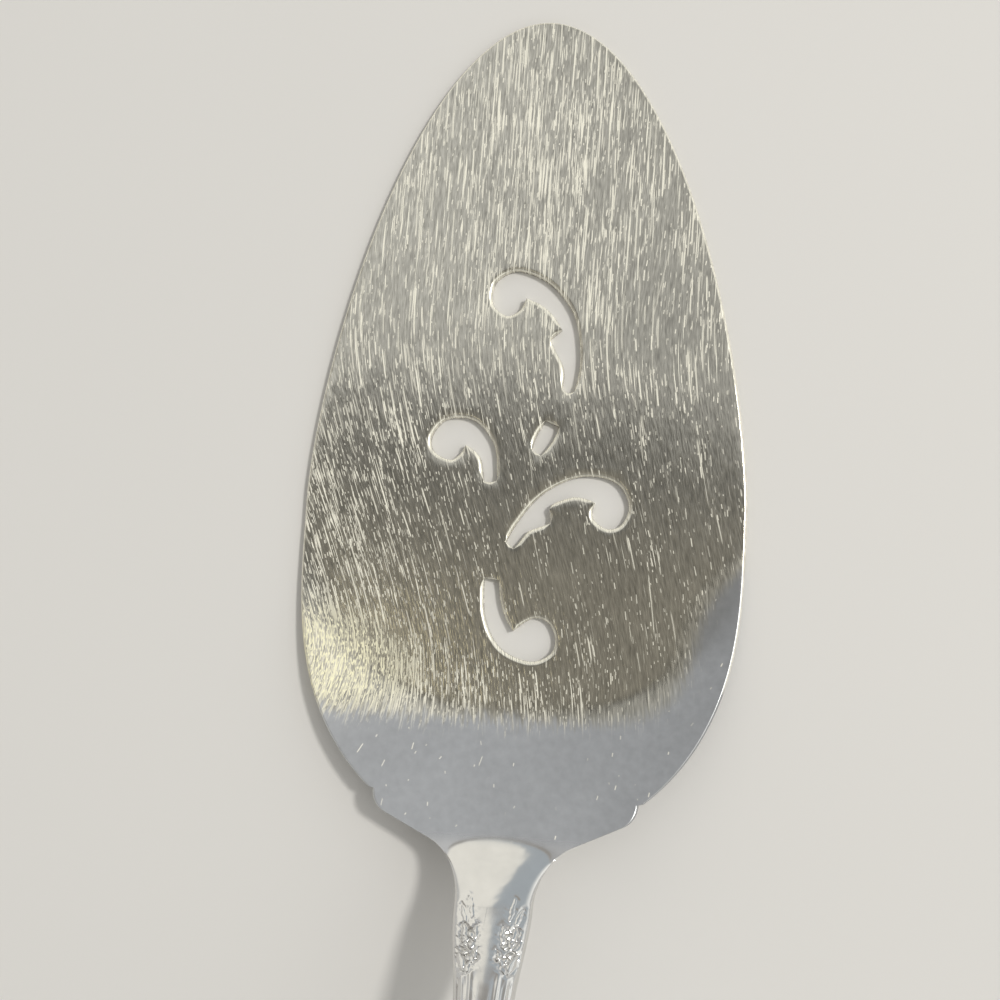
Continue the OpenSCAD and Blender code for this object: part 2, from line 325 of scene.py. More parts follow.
# Layers of straight marks as width and length of a cell, lean in degrees, half width of a mark and seed.
# Fills are shares of the cells that hold a mark. Layers on the heel and the handle have their fill first.
LONG_MARKS = (1.1, 11.0, 0.5, 0.17, 5.0)
MIDDLE_MARKS = (0.95, 5.5, 1.5, 0.15, 13.0)
SHORT_MARKS = (0.75, 1.9, -2.0, 0.12, 14.0)
TINY_MARKS = (0.5, 0.85, -4.0, 0.11, 15.0)
STRAY_MARKS = (3.4, 11.0, -7.0, 0.12, 6.0)
LINE_FILL = 0.4
LINE_FRONT_FILL = 0.7
SMALL_FRONT_LOSS = 0.65
TINY_STRENGTH = 0.9
STRAY_FILL = 0.12
STRAY_STRENGTH = 0.8
SCRATCH_STRENGTH = 0.55
HEEL_MARKS = [(0.05, (2.2, 1.6, -24.0, 0.11, 9.0)), (0.03, (1.1, 0.6, -12.0, 0.12, 10.0))]
HEEL_MARK_STRENGTH = 0.8
HANDLE_MARKS = [(0.3, (1.1, 6.0, 8.0, 0.08, 11.0)), (0.25, (1.6, 4.0, -24.0, 0.08, 12.0))]

# Shape of a mark in its cell: shift of the rows from column to column and seeds, least and range of its place
# across, drift, least and range of half length and brightness, and where it fades at its sides and ends
MARK_SHIFT = 17.0
MARK_SHIFT_SEED = 0.5
MARK_SECOND_SEED = 5.5
MARK_PLACE = (0.25, 0.5)
MARK_DRIFT = 0.5
MARK_REACH = (0.14, 0.34)
MARK_BRIGHT = (0.4, 0.6)
MARK_SIDES = (0.35, 0.9)
MARK_ENDS = (0.72, 1.0)
MARK_CHANCE = 0.02

# Tone, gloss and unevenness of the blade. Noise has its cells per metre and its detail.
EDGE_GLINT_STRENGTH = 0.75
STRAND_TONE = 0.7
CLOUD = (55.0, 2.0)
CLOUD_TONE = 0.35
MOTTLE = (900.0, 3.0)
MOTTLE_TONE = 0.25
# Painted reflection: the heel is made darker towards the right.
HEEL_SIDE_REFLECTION = 0.006
# Painted shade: a dark band at the bend between floor and heel.
BEND_SHADE_SIDE = (-14.0, 8.0, 0.0, 0.28)
BEND_SHADE_LOSS = 0.9
SHEET_ROUGH = 0.12
HAIR_ROUGH = 0.1
WORN_ROUGH = 0.18
NECK_POLISH = 0.18
SCRATCH_ROUGH = 0.25
BUMP_DEPTH = 0.07 * MM
GROOVE_DEPTH = 0.2
DAPPLE = (1500.0, 2.0)
DAPPLE_DEPTH = 0.035

# Tone, gloss and unevenness of the polished handle and neck. Noise has its cells per metre and its detail.
BLOTCH = (420.0, 2.0)
BLOTCH_TONES = (0.90, 1.05)
RECESS_DARK = 0.2
RECESS_BLOTCH = 0.4
UNEVEN = (520.0, 1.0)
UNEVEN_DEPTH = 0.4
HANDLE_ROUGH = 0.15
RECESS_ROUGH = 0.3
HAIRLINE_ROUGH = 0.15
HAIRLINE_DEPTH = 0.06

# Cement, and the plain floor of the stage. Noise has its cells per metre, its detail and its roughness.
SPECK = (1800.0, 4.0, 0.7)
SPECK_TONES = (0.7, 1.25)
SPECK_DEPTH = 0.1 * MM
SPECK_STRENGTH = 0.4
CEMENT_ROUGH = 0.75
SPECK_ROUGH = 0.2
STAGE_CLOUD = (9.0, 2.0)
STAGE_TONE = 0.97
STAGE_ROUGH = 0.9
STAGE_HALF = 3.0

# Colours of the surroundings
FRONT_LIGHT = (0.46, 0.463, 0.465, 1.0)
FRONT_LEFT_LIGHT = (0.64, 0.645, 0.65, 1.0)
OVERHEAD_LIGHT = (0.275, 0.262, 0.236, 1.0)
OVERHEAD_LEFT_LIGHT = (0.262, 0.252, 0.23, 1.0)
OVERHEAD_FRONT_LIGHT = (0.18, 0.178, 0.173, 1.0)
WHITE_LIGHT = (0.99, 0.965, 0.89, 1.0)
BLUE_LIGHT = (0.46, 0.50, 0.53, 1.0)
DIM_LIGHT = (0.37, 0.35, 0.32, 1.0)
RIGHT_LIGHT = (1.1, 1.1, 1.06, 1.0)
BACKDROP = (0.62, 0.615, 0.6, 1.0)

# Edges of the areas of light in the surroundings. A direction has parts to the right, ahead and up. The
# overhead, panel and front edges and the first right edge are measured on a level ceiling, as the parts to
# the right and ahead over the part up.
LEAST_UP = 0.02
OVERHEAD_SHIFT = 0.09
OVERHEAD_SOFTNESS = (0.02, 0.11, 0.017, 0.005)
OVERHEAD_EDGE = (-0.1, 0.05, -0.188, -0.16)
OVERHEAD_BACK = (-1.6, -1.0)
OVERHEAD_LEFT = (-0.9, -0.7)
LOW_TOP = (0.56, 0.66)
BLUE_LEAN = 0.7
BLUE_LEFT = (0.28, 0.34)
BLUE_BACK = (0.0, 0.3)
WHITE_LEAN = 0.2
WHITE_TOP = (0.6, 0.76)
WHITE_BACK = (0.3, 0.45)
DIM_LOW = (0.57, 0.71)
DIM_BACK = (0.6, 0.7)
DIM_LEFT = (-0.6, -0.4)
DIM_LEFT_FRONT = (0.38, 0.46)
RIGHT_ACROSS = (0.35, 0.6)
RIGHT_FRONT = (0.15, 0.4)
RIGHT_LOW = (0.5, 0.85)
PANEL_ACROSS = (-0.24, -0.05)
PANEL_AHEAD = (0.05, 0.14)
FRONT_ACROSS = (-0.22, 0.04)
HORIZON_TOP = (0.16, 0.28)
REAR_TOP = (0.4, 0.6)
REAR_FRONT = (-0.25, 0.0)

# Lamps, in metres, and the camera. Its place and aim are in millimetres to the right, back from the tip and
# up, and its lean in degrees.
KEY_LAMP = {"direction": (0.55, 0.22, 0.8), "distance": 1.3, "size": 0.16, "tint": (1.0, 0.97, 0.92)}
WARM_LAMP = {"direction": (-0.265, 0.015, 1.0), "distance": 0.9, "size": 0.09, "tint": (1.0, 0.9, 0.62)}
CAMERA_PLACE = (18.7, 89.3, 194.0)
CAMERA_AIM = (-3.16, 67.86, 1.3)
CAMERA_LEAN = -3.33
CAMERA_SENSOR = 36
CAMERA_CLIP = 0.01


class BladeLook(bpy.types.PropertyGroup):
    """Sizes and colours of the blade's finish."""
    edge_round: bpy.props.FloatProperty(
        name="Edge rounding", description="Depth of the rounded rim, measured in from the outline",
        default=0.38 * MM, min=0.05 * MM, max=0.6 * MM, unit="LENGTH")
    rollover: bpy.props.FloatProperty(
        name="Rollover width", description="Width of the band that rolls down into the piercing",
        default=0.55 * MM, min=0.1 * MM, max=0.6 * MM, unit="LENGTH")
    rollover_depth: bpy.props.FloatProperty(
        name="Rollover depth", description="Depth of the band that rolls down into the piercing",
        default=0.38 * MM, min=0.1 * MM, max=0.8 * MM, unit="LENGTH")
    floor_steel: bpy.props.FloatVectorProperty(
        name="Floor steel", description="Colour of the scratched floor between its scratches",
        default=(0.67, 0.645, 0.56), size=3, min=0, max=1, subtype="COLOR")
    heel_steel: bpy.props.FloatVectorProperty(
        name="Heel steel", description="Colour of the smooth satin heel",
        default=(0.57, 0.582, 0.594), size=3, min=0, max=1, subtype="COLOR")
    # Painted highlight: scratches are near white and mostly not metallic, so they stand in for the glints
    # that real scratches catch.
    scratch_glint_steel: bpy.props.FloatVectorProperty(
        name="Scratch", description="Colour of freshly scratched steel",
        default=(0.98, 0.955, 0.83), size=3, min=0, max=1, subtype="COLOR")
    # Painted reflection: the yellow of the worn patch's scratches stands in for the glow of a warm lamp.
    warm_glint_steel: bpy.props.FloatVectorProperty(
        name="Worn patch", description="Colour of the scratches where the blade is worn most",
        default=(1.0, 0.96, 0.68), size=3, min=0, max=1, subtype="COLOR")


class HandleLook(bpy.types.PropertyGroup):
    """Sizes and colours of the handle's relief and finish."""
    relief_height: bpy.props.FloatProperty(
        name="Relief height", description="Height of the leaves and ribs over their ground",
        default=0.30 * MM, min=0.05 * MM, max=0.45 * MM, unit="LENGTH")
    rib_half: bpy.props.FloatProperty(
        name="Rib half width", description="Half width of each rib along the handle",
        default=0.32 * MM, min=0.1 * MM, max=0.8 * MM, unit="LENGTH")
    steel: bpy.props.FloatVectorProperty(
        name="Handle steel", description="Colour of the polished handle and neck",
        default=(0.74, 0.735, 0.72), size=3, min=0, max=1, subtype="COLOR")
    patina: bpy.props.FloatVectorProperty(
        name="Patina", description="Colour of the darkened recesses of the relief",
        default=(0.16, 0.15, 0.13), size=3, min=0, max=1, subtype="COLOR")
    cement: bpy.props.FloatVectorProperty(
        name="Cement", description="Colour of the filler inside the handle",
        default=(0.36, 0.34, 0.31), size=3, min=0, max=1, subtype="COLOR")


class StageLook(bpy.types.PropertyGroup):
    """Floor, light and camera."""
    floor_colour: bpy.props.FloatVectorProperty(
        name="Floor", description="Colour of the plain floor",
        default=(0.78, 0.77, 0.75), size=3, min=0, max=1, subtype="COLOR")
    key_power: bpy.props.FloatProperty(
        name="Key light", description="Power of the key light that casts the shadow",
        default=7.0, min=0, unit="POWER")
    warm_power: bpy.props.FloatProperty(
        name="Warm light", description="Power of the small warm light overhead",
        default=0.02, min=0, unit="POWER")
    lens: bpy.props.FloatProperty(
        name="Lens", description="Focal length of the camera", default=51.84, min=10, unit="CAMERA")


class ServerLook(bpy.types.PropertyGroup):
    """All settings of the pie server's looks."""
    blade: bpy.props.PointerProperty(type=BladeLook)
    handle: bpy.props.PointerProperty(type=HandleLook)
    stage: bpy.props.PointerProperty(type=StageLook)


# Curves shared by the blade and the handle
def ease(t):
    """Smooth step: t squared times (3 - 2 t), held at 0 and 1 outside."""
    c = np.clip(t, 0, 1)
    return c * c * (3 - 2 * c)


def soft_max(a, b, r):
    """The larger of two values: half of their sum plus the root of their squared difference and r squared."""
    return (a + b + np.sqrt((a - b) ** 2 + r * r)) / 2


def soft_start(t, r):
    """0 up to -r, then a parabola up to r, then t itself."""
    return np.where(t < -r, 0, np.where(t > r, t, (t + r) ** 2 / (4 * r)))


def middle(s):
    """Height of the middle of neck and handle: straight, a cubic over the arch, eased down to the grip."""
    t = np.clip((s - NECK_PLACE) / (ARCH - NECK_PLACE), 0, 1)
    slope = NECK_SLOPE * (ARCH - NECK_PLACE)
    climb = NECK_HEIGHT + (ARCH_HEIGHT - NECK_HEIGHT) * ease(t) + slope * (t ** 3 - 2 * t ** 2 + t)
    straight = NECK_HEIGHT + NECK_SLOPE * (s - NECK_PLACE)
    fall = ARCH_HEIGHT + (GRIP_THICK - ARCH_HEIGHT) * ease((s - ARCH) / (GRIP - ARCH))
    return np.where(s < NECK_PLACE, straight, np.where(s < ARCH, climb, fall))


def waisted(s, neck, waist, grip):
    """A size that eases from the neck to the waist and on to the grip."""
    to_waist = neck + (waist - neck) * ease((s - SEAM) / (WAIST - SEAM))
    to_grip = waist + (grip - waist) * ease((s - WAIST) / (GRIP - WAIST))
    return np.where(s < WAIST, to_waist, to_grip)


# Surface of the blade
def blade_half(s):
    """Half width: a power curve over the tip, parallel sides, then a superellipse round the heel."""
    front = np.clip(1 - s / TIP_LENGTH, 0, 1)
    back = np.maximum(0, s - PARALLEL_END) / HEEL_CLOSE
    leaf = (1 - front ** TIP_DRAW) ** TIP_FULLNESS
    heel = np.sqrt(np.maximum(0, 1 - back ** HEEL_SQUARENESS))
    return BLADE_HALF * np.where(s < TIP_LENGTH, leaf, heel)


def dish(x, s):
    """Rise of the heel: a soft start of the superellipse distance past the floor, faded in along it."""
    back = np.maximum(0, s - FLOOR_START) / FLOOR_LENGTH
    side = np.abs(x) / FLOOR_HALF
    reach = (back ** FLOOR_SQUARENESS + side ** FLOOR_SQUARENESS) ** (1 / FLOOR_SQUARENESS)
    return HEEL_RISE * soft_start(reach - 1, FLOOR_SOFTNESS) * ease((s - FLOOR_START) / SIDE_FADE)


def roundness(s):
    """Share of the neck's round section, from 0 at the shoulder corner to 1 at the seam."""
    return ease((s - CORNER) / (SEAM - CORNER))


def crown(x, half, thick):
    """Height of a half ellipse over the side land."""
    return SIDE_LAND + (thick - SIDE_LAND) * np.sqrt(np.maximum(0, 1 - (x / half) ** 2))


def blade_top(x, s, half):
    """Top of the blade: the dished sheet, and behind the shoulder corner the larger of it and the neck."""
    share = roundness(s)
    flat_crown = NECK_CROWN - x ** 2 / (2 * NECK_CROWN_RADIUS)
    neck = middle(s) + (1 - share) * (flat_crown - NECK_SINK) + share * crown(x, half, NECK_THICK)
    sheet = SHEET + dish(x, s)
    return np.where(s < CORNER, sheet, soft_max(sheet, neck, CREASE_ROUND))


def blade_depth(x, s, half):
    """Thickness of the blade: the sheet, growing into twice the neck's crown at the seam."""
    share = roundness(s)
    return (1 - share) * SHEET + share * 2 * crown(x, half, NECK_THICK)


def rear_outline():
    """Half widths and places from join to seam: heel, shoulder lobe, straight shoulder and neck fillet."""
    heel = np.linspace(JOIN, CORNER, HEEL_ROWS)
    lobe = np.radians(np.linspace(0, LOBE_ANGLE, LOBE_ROWS))
    fillet = np.radians(np.linspace(LOBE_ANGLE, 0, FILLET_ROWS))
    lobe_half = blade_half(CORNER) - CORNER_STEP - LOBE_RADIUS
    lobe_place = CORNER + CORNER_LEAN + LOBE_RADIUS * np.sin(lobe)
    lobe_line = np.c_[lobe_half + LOBE_RADIUS * np.cos(lobe), lobe_place]
    fillet_place = SEAM - FILLET_RADIUS * np.sin(fillet)
    fillet_line = np.c_[NECK_HALF + FILLET_RADIUS * (1 - np.cos(fillet)), fillet_place]
    along = np.linspace(0, 1, SHOULDER_ROWS)[1:-1, None]
    shoulder = lobe_line[-1] * (1 - along) + fillet_line[0] * along
    rows = np.vstack([np.c_[blade_half(heel), heel], lobe_line, shoulder, fillet_line])
    return rows[:, 0], rows[:, 1]


# Meshes from grids of points
def quads(rows, columns, first=0, wrap=False):
    """Faces of a grid of points, row after row; wrap joins the last column to the first."""
    i = np.arange(rows - 1)[:, None] * columns
    j = np.arange(columns if wrap else columns - 1)[None, :]
    k = (j + 1) % columns
    return first + np.stack([i + j, i + columns + j, i + columns + k, i + k], -1).reshape(-1, 4)


def fan(ring, centre):
    """Triangles from a centre to each pair of neighbours on a closed ring."""
    return np.stack([np.full(len(ring), centre), np.roll(ring, -1), ring], -1)


def zipped(a, b):
    """Triangles between two lines of points, each edge tied to the nearest point of the other line."""
    near = np.round((np.arange(len(a) - 1) + 0.5) / (len(a) - 1) * (len(b) - 1)).astype(int)
    turn = np.searchsorted(near, np.arange(1, len(b)), side="left")
    over = np.stack([a[:-1], a[1:], b[near]], -1)
    back = np.stack([b[1:], b[:-1], a[turn]], -1)
    return np.vstack([over, back])


class Solid:
    """Points and faces of one piece, collected grid by grid."""

    def __init__(self):
        self.points = []
        self.faces = []
        self.values = {"patina": [], "edge_wear": [], "rim": []}
        self.count = 0

    def add(self, points, **values):
        """Adds points with their patina, edge wear with its painted highlight and share of rim, and returns
        the first one's number.
        """
        points = np.asarray(points, float).reshape(-1, 3)
        first = self.count
        self.points.append(points)
        for name, parts in self.values.items():
            value = np.asarray(values.get(name, 0.0), float).ravel()
            parts.append(np.broadcast_to(value, len(points)))
        self.count += len(points)
        return first

    def grid(self, points, wrap=False, flip=False, **values):
        """Adds a grid of points with its faces and returns the numbers of its points."""
        rows, columns = points.shape[:2]
        first = self.add(points, **values)
        faces = quads(rows, columns, first, wrap)
        self.faces.append(faces[:, ::-1] if flip else faces)
        return first + np.arange(rows * columns).reshape(rows, columns)

    def piece(self, name, material, slot, node, sharp_angle=50):
        """Makes the mesh with its doubles merged, and puts it in the place of a node."""
        mesh = bpy.data.meshes.new(name)
        faces = [face for block in self.faces for face in block.tolist()]
        mesh.from_pydata(np.vstack(self.points), [], faces)
        for title, parts in self.values.items():
            attribute = mesh.attributes.new(title, "FLOAT", "POINT")
            attribute.data.foreach_set("value", np.concatenate(parts).astype(np.float32))
        form = bmesh.new()
        form.from_mesh(mesh)
        bmesh.ops.remove_doubles(form, verts=form.verts, dist=MERGE_DISTANCE)
        bmesh.ops.dissolve_degenerate(form, edges=form.edges, dist=MERGE_DISTANCE)
        form.to_mesh(mesh)
        form.free()
        mesh.polygons.foreach_set("use_smooth", np.ones(len(mesh.polygons), bool))
        mesh.set_sharp_from_angle(angle=np.radians(sharp_angle))
        mesh.materials.append(material)
        piece = bpy.data.objects.new(name, mesh)
        bpy.context.scene.collection.objects.link(piece)
        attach(piece, "root")
        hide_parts(node)
        return piece


# The plate that the scrolls are pierced in
def stroke(points):
    """Catmull-Rom curve through points, without its last point, so that strokes join end to end."""
    p = np.array(points, float)
    before = np.vstack([p[:1], p[:-2]])
    after = np.vstack([p[2:], p[-1:]])
    t = (np.arange(STROKE_STEPS) / STROKE_STEPS)[None, :, None]
    b, c = p[:-1, None], p[1:, None]
    leave = (c - before[:, None]) / 2 * (t - 2 * t ** 2 + t ** 3)
    reach = (after[:, None] - b) / 2 * (t ** 3 - t ** 2)
    return (b + leave + (c - b) * (3 * t ** 2 - 2 * t ** 3) + reach).reshape(-1, 2)


def scroll_loop(strokes):
    """One scroll's outline, anticlockwise, with outward normals and distances from the nearest corner."""
    pieces = [stroke(points) for points in strokes]
    loop = np.vstack(pieces) * MM + [0, TIP_Y - PIERCING_PLACE]
    corners = np.cumsum([0] + [len(part) for part in pieces[:-1]])
    following = np.roll(loop, -1, 0)
    if np.sum(loop[:, 0] * following[:, 1] - following[:, 0] * loop[:, 1]) < 0:
        loop = loop[::-1]
        corners = len(loop) - 1 - corners
    tangent = np.roll(loop, -1, 0) - np.roll(loop, 1, 0)
    normal = np.c_[tangent[:, 1], -tangent[:, 0]]
    normal /= np.linalg.norm(normal, axis=1, keepdims=True)
    gap = np.linalg.norm(loop[:, None] - loop[corners][None], axis=2).min(1)
    return loop, normal, gap


def front_outline(edge):
    """The plate's rim from the left join round the tip to the right join, with its outward normals."""
    turn = np.radians(np.linspace(0, 90, TIP_STEPS + 1))
    tip = TIP_LENGTH * (1 - np.cos(turn))
    side = np.linspace(TIP_LENGTH, JOIN, SIDE_STEPS + 1)[1:]
    s = np.concatenate([tip, side])
    right = np.c_[blade_half(s), TIP_Y - s]
    path = np.vstack([right[:0:-1] * [-1, 1], right])
    tangent = np.gradient(path, axis=0)
    normal = np.c_[-tangent[:, 1], tangent[:, 0]]
    normal /= np.linalg.norm(normal, axis=1, keepdims=True)
    share = ease((TIP_Y - path[:, 1] - JOIN + JOIN_BLEND) / JOIN_BLEND)[:, None]
    normal = normal * (1 - share) + np.c_[np.sign(path[:, 0]), np.zeros(len(path))] * share
    normal /= np.linalg.norm(normal, axis=1, keepdims=True)
    return path - normal * edge, normal


def inside(points, loop):
    """Which points lie inside a closed loop: an odd number of its edges lie to their right."""
    a, b = loop, np.roll(loop, -1, 0)
    x, y = points[:, :1], points[:, 1:]
    spans = (a[:, 1] > y) != (b[:, 1] > y)
    rise = np.where(a[:, 1] == b[:, 1], 1, b[:, 1] - a[:, 1])
    cross = a[:, 0] + (y - a[:, 1]) / rise * (b[:, 0] - a[:, 0])
    return (spans & (x < cross)).sum(1) % 2 == 1


def plate_points(rim, holes, spacing, clear):
    """Staggered points over the plate that keep clear of its rim and its holes."""
    low, high = rim.min(0), rim.max(0)
    rows = np.arange(low[1] + spacing / 2, high[1], spacing * STAGGER)
    columns = np.arange(low[0], high[0], spacing)
    x, y = np.meshgrid(columns, rows)
    x = x + (np.arange(len(rows)) % 2)[:, None] * spacing / 2
    points = np.c_[x.ravel(), y.ravel()]
    keep = inside(points, rim)
    for hole in holes:
        keep &= ~inside(points, hole)
    for line in [rim, *holes]:
        near = np.linalg.norm(points[:, None] - line[None], axis=2).min(1)
        keep &= near > clear
    return points[keep]


def plate_triangles(rim, holes):
    """Points and triangles of the plate between its rim and its holes, by constrained Delaunay."""
    loops = [rim, *holes]
    coarse = plate_points(rim, holes, FLAT_SPACING, FLAT_SPACING / 2)
    fine = plate_points(rim, holes, DISH_SPACING, DISH_SPACING / 2)
    ahead = TIP_Y - FLOOR_START + DISH_SPACING
    fill = [coarse[coarse[:, 1] > ahead], fine[fine[:, 1] <= ahead]]
    points = np.vstack([*loops, *fill]) / MM
    starts = np.cumsum([0] + [len(loop) for loop in loops[:-1]])
    numbers = [first + np.arange(len(loop)) for first, loop in zip(starts, loops)]
    edges = np.vstack([np.c_[n, np.roll(n, -1)] for n in numbers])
    corners = [Vector(p) for p in points.tolist()]
    made = geometry.delaunay_2d_cdt(corners, edges.tolist(), [], INSIDE_WITH_HOLES, SAME_POINT)
    corners = np.array([tuple(p) for p in made[0]]) * MM
    triangles = np.array(made[2])
    middles = corners[triangles].mean(1)
    pierced = np.any([inside(middles, hole) for hole in holes], axis=0)
    triangles = triangles[inside(middles, rim) & ~pierced]
    a, b, c = corners[triangles].transpose(1, 0, 2)
    area = (b[:, 0] - a[:, 0]) * (c[:, 1] - a[:, 1]) - (b[:, 1] - a[:, 1]) * (c[:, 0] - a[:, 0])
    triangles[area < 0] = triangles[area < 0][:, ::-1]
    return corners, triangles


def lifted(plan, top):
    """Plan points on the blade's top or underside ahead of the join."""
    x, s = plan[..., 0], TIP_Y - plan[..., 1]
    height = dish(x, s) + (SHEET if top else 0)
    return np.concatenate([plan, height[..., None]], -1)


def blade_plate(solid, look, columns):
    """Front of the blade: plate, rounded rim and rolled piercing."""
    rim, normal = front_outline(look.edge_round)
    join_half = blade_half(JOIN) - look.edge_round
    join = np.c_[columns[-2:0:-1] * join_half, np.full(len(columns) - 2, TIP_Y - JOIN)]
    turn = np.linspace(np.pi / 2, -np.pi / 2, EDGE_STEPS + 1)[None, :]
    out = rim[:, None] + normal[:, None] * (look.edge_round * np.cos(turn))[..., None]
    height = lifted(rim, True)[:, 2:] + SHEET / 2 * (np.sin(turn) - 1)
    side = np.broadcast_to(np.cos(turn), height.shape)
    # The rim's rounded shoulder carries edge wear that is painted bright, partly as a painted highlight.
    shoulder = np.broadcast_to(RIM_WEAR_AND_GLINT * np.maximum(0, np.sin(2 * turn)), height.shape)
    solid.grid(np.concatenate([out, height[..., None]], -1), rim=side, edge_wear=shoulder)
    holes = []
    for strokes in SCROLLS:
        loop, away, gap = scroll_loop(strokes)
        share = np.clip(gap / PIERCING_CORNER_FADE, PIERCING_CORNER_LEAST, 1)
        holes.append(loop + away * (look.rollover * share)[:, None])
        rolled_edge(solid, look, loop, away, share)
    corners, triangles = plate_triangles(np.vstack([rim, join]), holes)
    solid.faces.append(triangles + solid.add(lifted(corners, True)))
    solid.faces.append(triangles[:, ::-1] + solid.add(lifted(corners, False)))


def rolled_edge(solid, look, loop, away, share):
    """Wall of one scroll: a quarter ellipse down from the top, a straight wall and a small lower chamfer."""
    turn = np.linspace(0, np.pi / 2, ROLLOVER_STEPS + 1)
    offset = look.rollover * np.concatenate([1 - np.sin(turn), [0, WALL_CHAMFER, 1]])
    drop = look.rollover_depth * (1 - np.cos(turn))
    foot = SHEET - look.rollover * WALL_CHAMFER
    depth = np.concatenate([drop, [foot, SHEET, SHEET]])
    scaled = np.concatenate([np.ones(len(turn)), [0, 0, 0]])
    plan = loop[:, None] + away[:, None] * (offset[None] * share[:, None])[..., None]
    fall = depth[None] * np.where(scaled[None] > 0, share[:, None], 1)
    points = lifted(plan, True)
    points[..., 2] -= fall
    # Painted highlight: the side of each rolled edge that the key light catches gets the most edge wear,
    # painted bright.
    lit_facing = EDGE_WEAR_AND_GLINT_LEAST + (1 - EDGE_WEAR_AND_GLINT_LEAST) * ease(0.5 + away @ EDGE_GLINT_SIDE)
    wear = np.concatenate([np.sqrt(np.sin(2 * turn)), [0, 0, 0]])[None] * lit_facing[:, None]
    solid.grid(np.concatenate([points, points[:1]]), edge_wear=np.concatenate([wear, wear[:1]]))


def blade_rear(solid, look, handle, columns):
    """Heel, shoulders and neck as closed sections: struck top, rounded rim, underside and the other rim."""
    half, s = rear_outline()
    share = roundness(s)
    edge = look.edge_round * (1 - SEAM_EDGE_LOSS * share)
    reach = (half - edge)[:, None]
    half, s = half[:, None], s[:, None]
    x = columns[None] * reach
    top = blade_top(x, s, half)
    under = top - blade_depth(x, s, half)
    y = TIP_Y - s + 0 * x
    sunk = struck_share(x, TIP_Y - y, half, handle.rib_half)
    top = top - sunk * handle.relief_height
    turn = np.linspace(np.pi / 2, -np.pi / 2, EDGE_STEPS + 1)[None, 1:-1]
    rim_x = reach + edge[:, None] * np.cos(turn)
    rim_top = blade_top(reach, s, half)
    rim_deep = blade_depth(reach, s, half) / 2
    rim_z = rim_top - rim_deep + rim_deep * np.sin(turn)
    rim_y = TIP_Y - s + 0 * rim_x
    ring = [
        np.stack([x, y, top], -1),
        np.stack([rim_x, rim_y, rim_z], -1),
        np.stack([x, y, under], -1)[:, ::-1],
        np.stack([-rim_x, rim_y, rim_z], -1)[:, ::-1],
    ]
    bare = np.zeros((len(s), sum(strip.shape[1] for strip in ring[1:])))
    patina = np.concatenate([darkened(sunk), bare], 1)
    numbers = solid.grid(np.concatenate(ring, 1), wrap=True, patina=patina)
    centre = solid.add([[0, TIP_Y - SEAM, middle(SEAM)]])
    solid.faces.append(fan(numbers[-1], centre))


def tang(solid):
    """Flat bar along the middle of the handle, closed at both ends."""
    s = np.linspace(SEAM + TANG_ROOT, TANG_END, TANG_ROWS)[:, None]
    x = np.array([[-1, 1, 1, -1]]) * TANG_HALF + 0 * s
    z = middle(s) + np.array([[1, 1, -1, -1]]) * TANG_THICK
    numbers = solid.grid(np.stack([x, TIP_Y - s + 0 * x, z], -1), wrap=True)
    solid.faces.append(numbers[:1])
    solid.faces.append(numbers[-1:, ::-1])


# Surface of the handle
def handle_rows():
    """Places along the handle and the share of its size: close rows at the sprigs and the end ornament."""
    stops = [SEAM, SEAM + SPRIG_SPAN, SEAM + RIB_SPAN, GRIP]
    spans = zip(stops[:-1], stops[1:], [SPRIG_ROWS, RIB_ROWS, GRIP_ROWS])
    straight = np.concatenate([np.linspace(a, b, count, endpoint=False) for a, b, count in spans])
    turn = np.radians(np.linspace(0, 90, END_ROWS))
    place = np.concatenate([straight, GRIP + END_ROUND * np.sin(turn)])
    share = np.concatenate([np.ones(len(straight)), np.cos(turn)])
    return place, np.maximum(share, 0)


def half_section(place, share, columns, inset, sign):
    """Half ellipse over the side land, with a foot on each side at the side seam; inset thins it."""
    turn = np.linspace(0, np.pi, columns + 1)[None, :]
    half = ((waisted(place, NECK_HALF, WAIST_HALF, GRIP_HALF) - inset) * share)[:, None]
    thick = waisted(place, NECK_THICK, WAIST_THICK, GRIP_THICK) - SIDE_LAND - inset
    if inset == 0:
        thick = thick - FACET_GAP * ease((place - SEAM) / (WAIST - SEAM))
    rise = SIDE_LAND + (thick * np.sqrt(share))[:, None] * np.sin(turn)
    x = -half * np.cos(turn)
    x = np.concatenate([x[:, :1], x, x[:, -1:]], 1)
    rise = np.pad(rise, ((0, 0), (1, 1)))
    rise[-1] = 0
    z = middle(place)[:, None] + sign * rise
    y = TIP_Y - np.where(share > 0, place, place - inset)[:, None] + 0 * x
    return np.stack([x, y, z], -1)


def wander(x, s):
    """Uneven shift of the hand-cut ornaments, in millimetres: the sum of crossed sine waves."""
    return WANDER * sum(share * np.sin(along * s + across * x) for along, across, share in WANDER_WAVES)


def leaf(x, s, base, tip, half, ditch, swell=LEAF_SWELL):
    """A pointed leaf, round across with a sunk vein, in a ditch that is a bell of the gap to its edge."""
    run = np.array(tip) - np.array(base)
    length = np.hypot(*run)
    along = ((x - base[0]) * run[0] + (s - base[1]) * run[1]) / length ** 2
    across = np.abs((x - base[0]) * run[1] - (s - base[1]) * run[0]) / length
    width = half * np.sqrt(np.maximum(0, np.sin(np.pi * np.clip(along, 0, 1) ** swell)))
    body = np.maximum(0, 1 - (across / np.maximum(width, TINY)) ** 2)
    vein = 1 - VEIN_DEPTH * np.exp(-(across / (VEIN_WIDTH * half)) ** 2)
    beyond = (along - np.clip(along, 0, 1)) * length
    gap = np.hypot(np.maximum(0, across - width), beyond)
    return np.stack([body * vein, np.exp(-(gap / ditch) ** 2)])


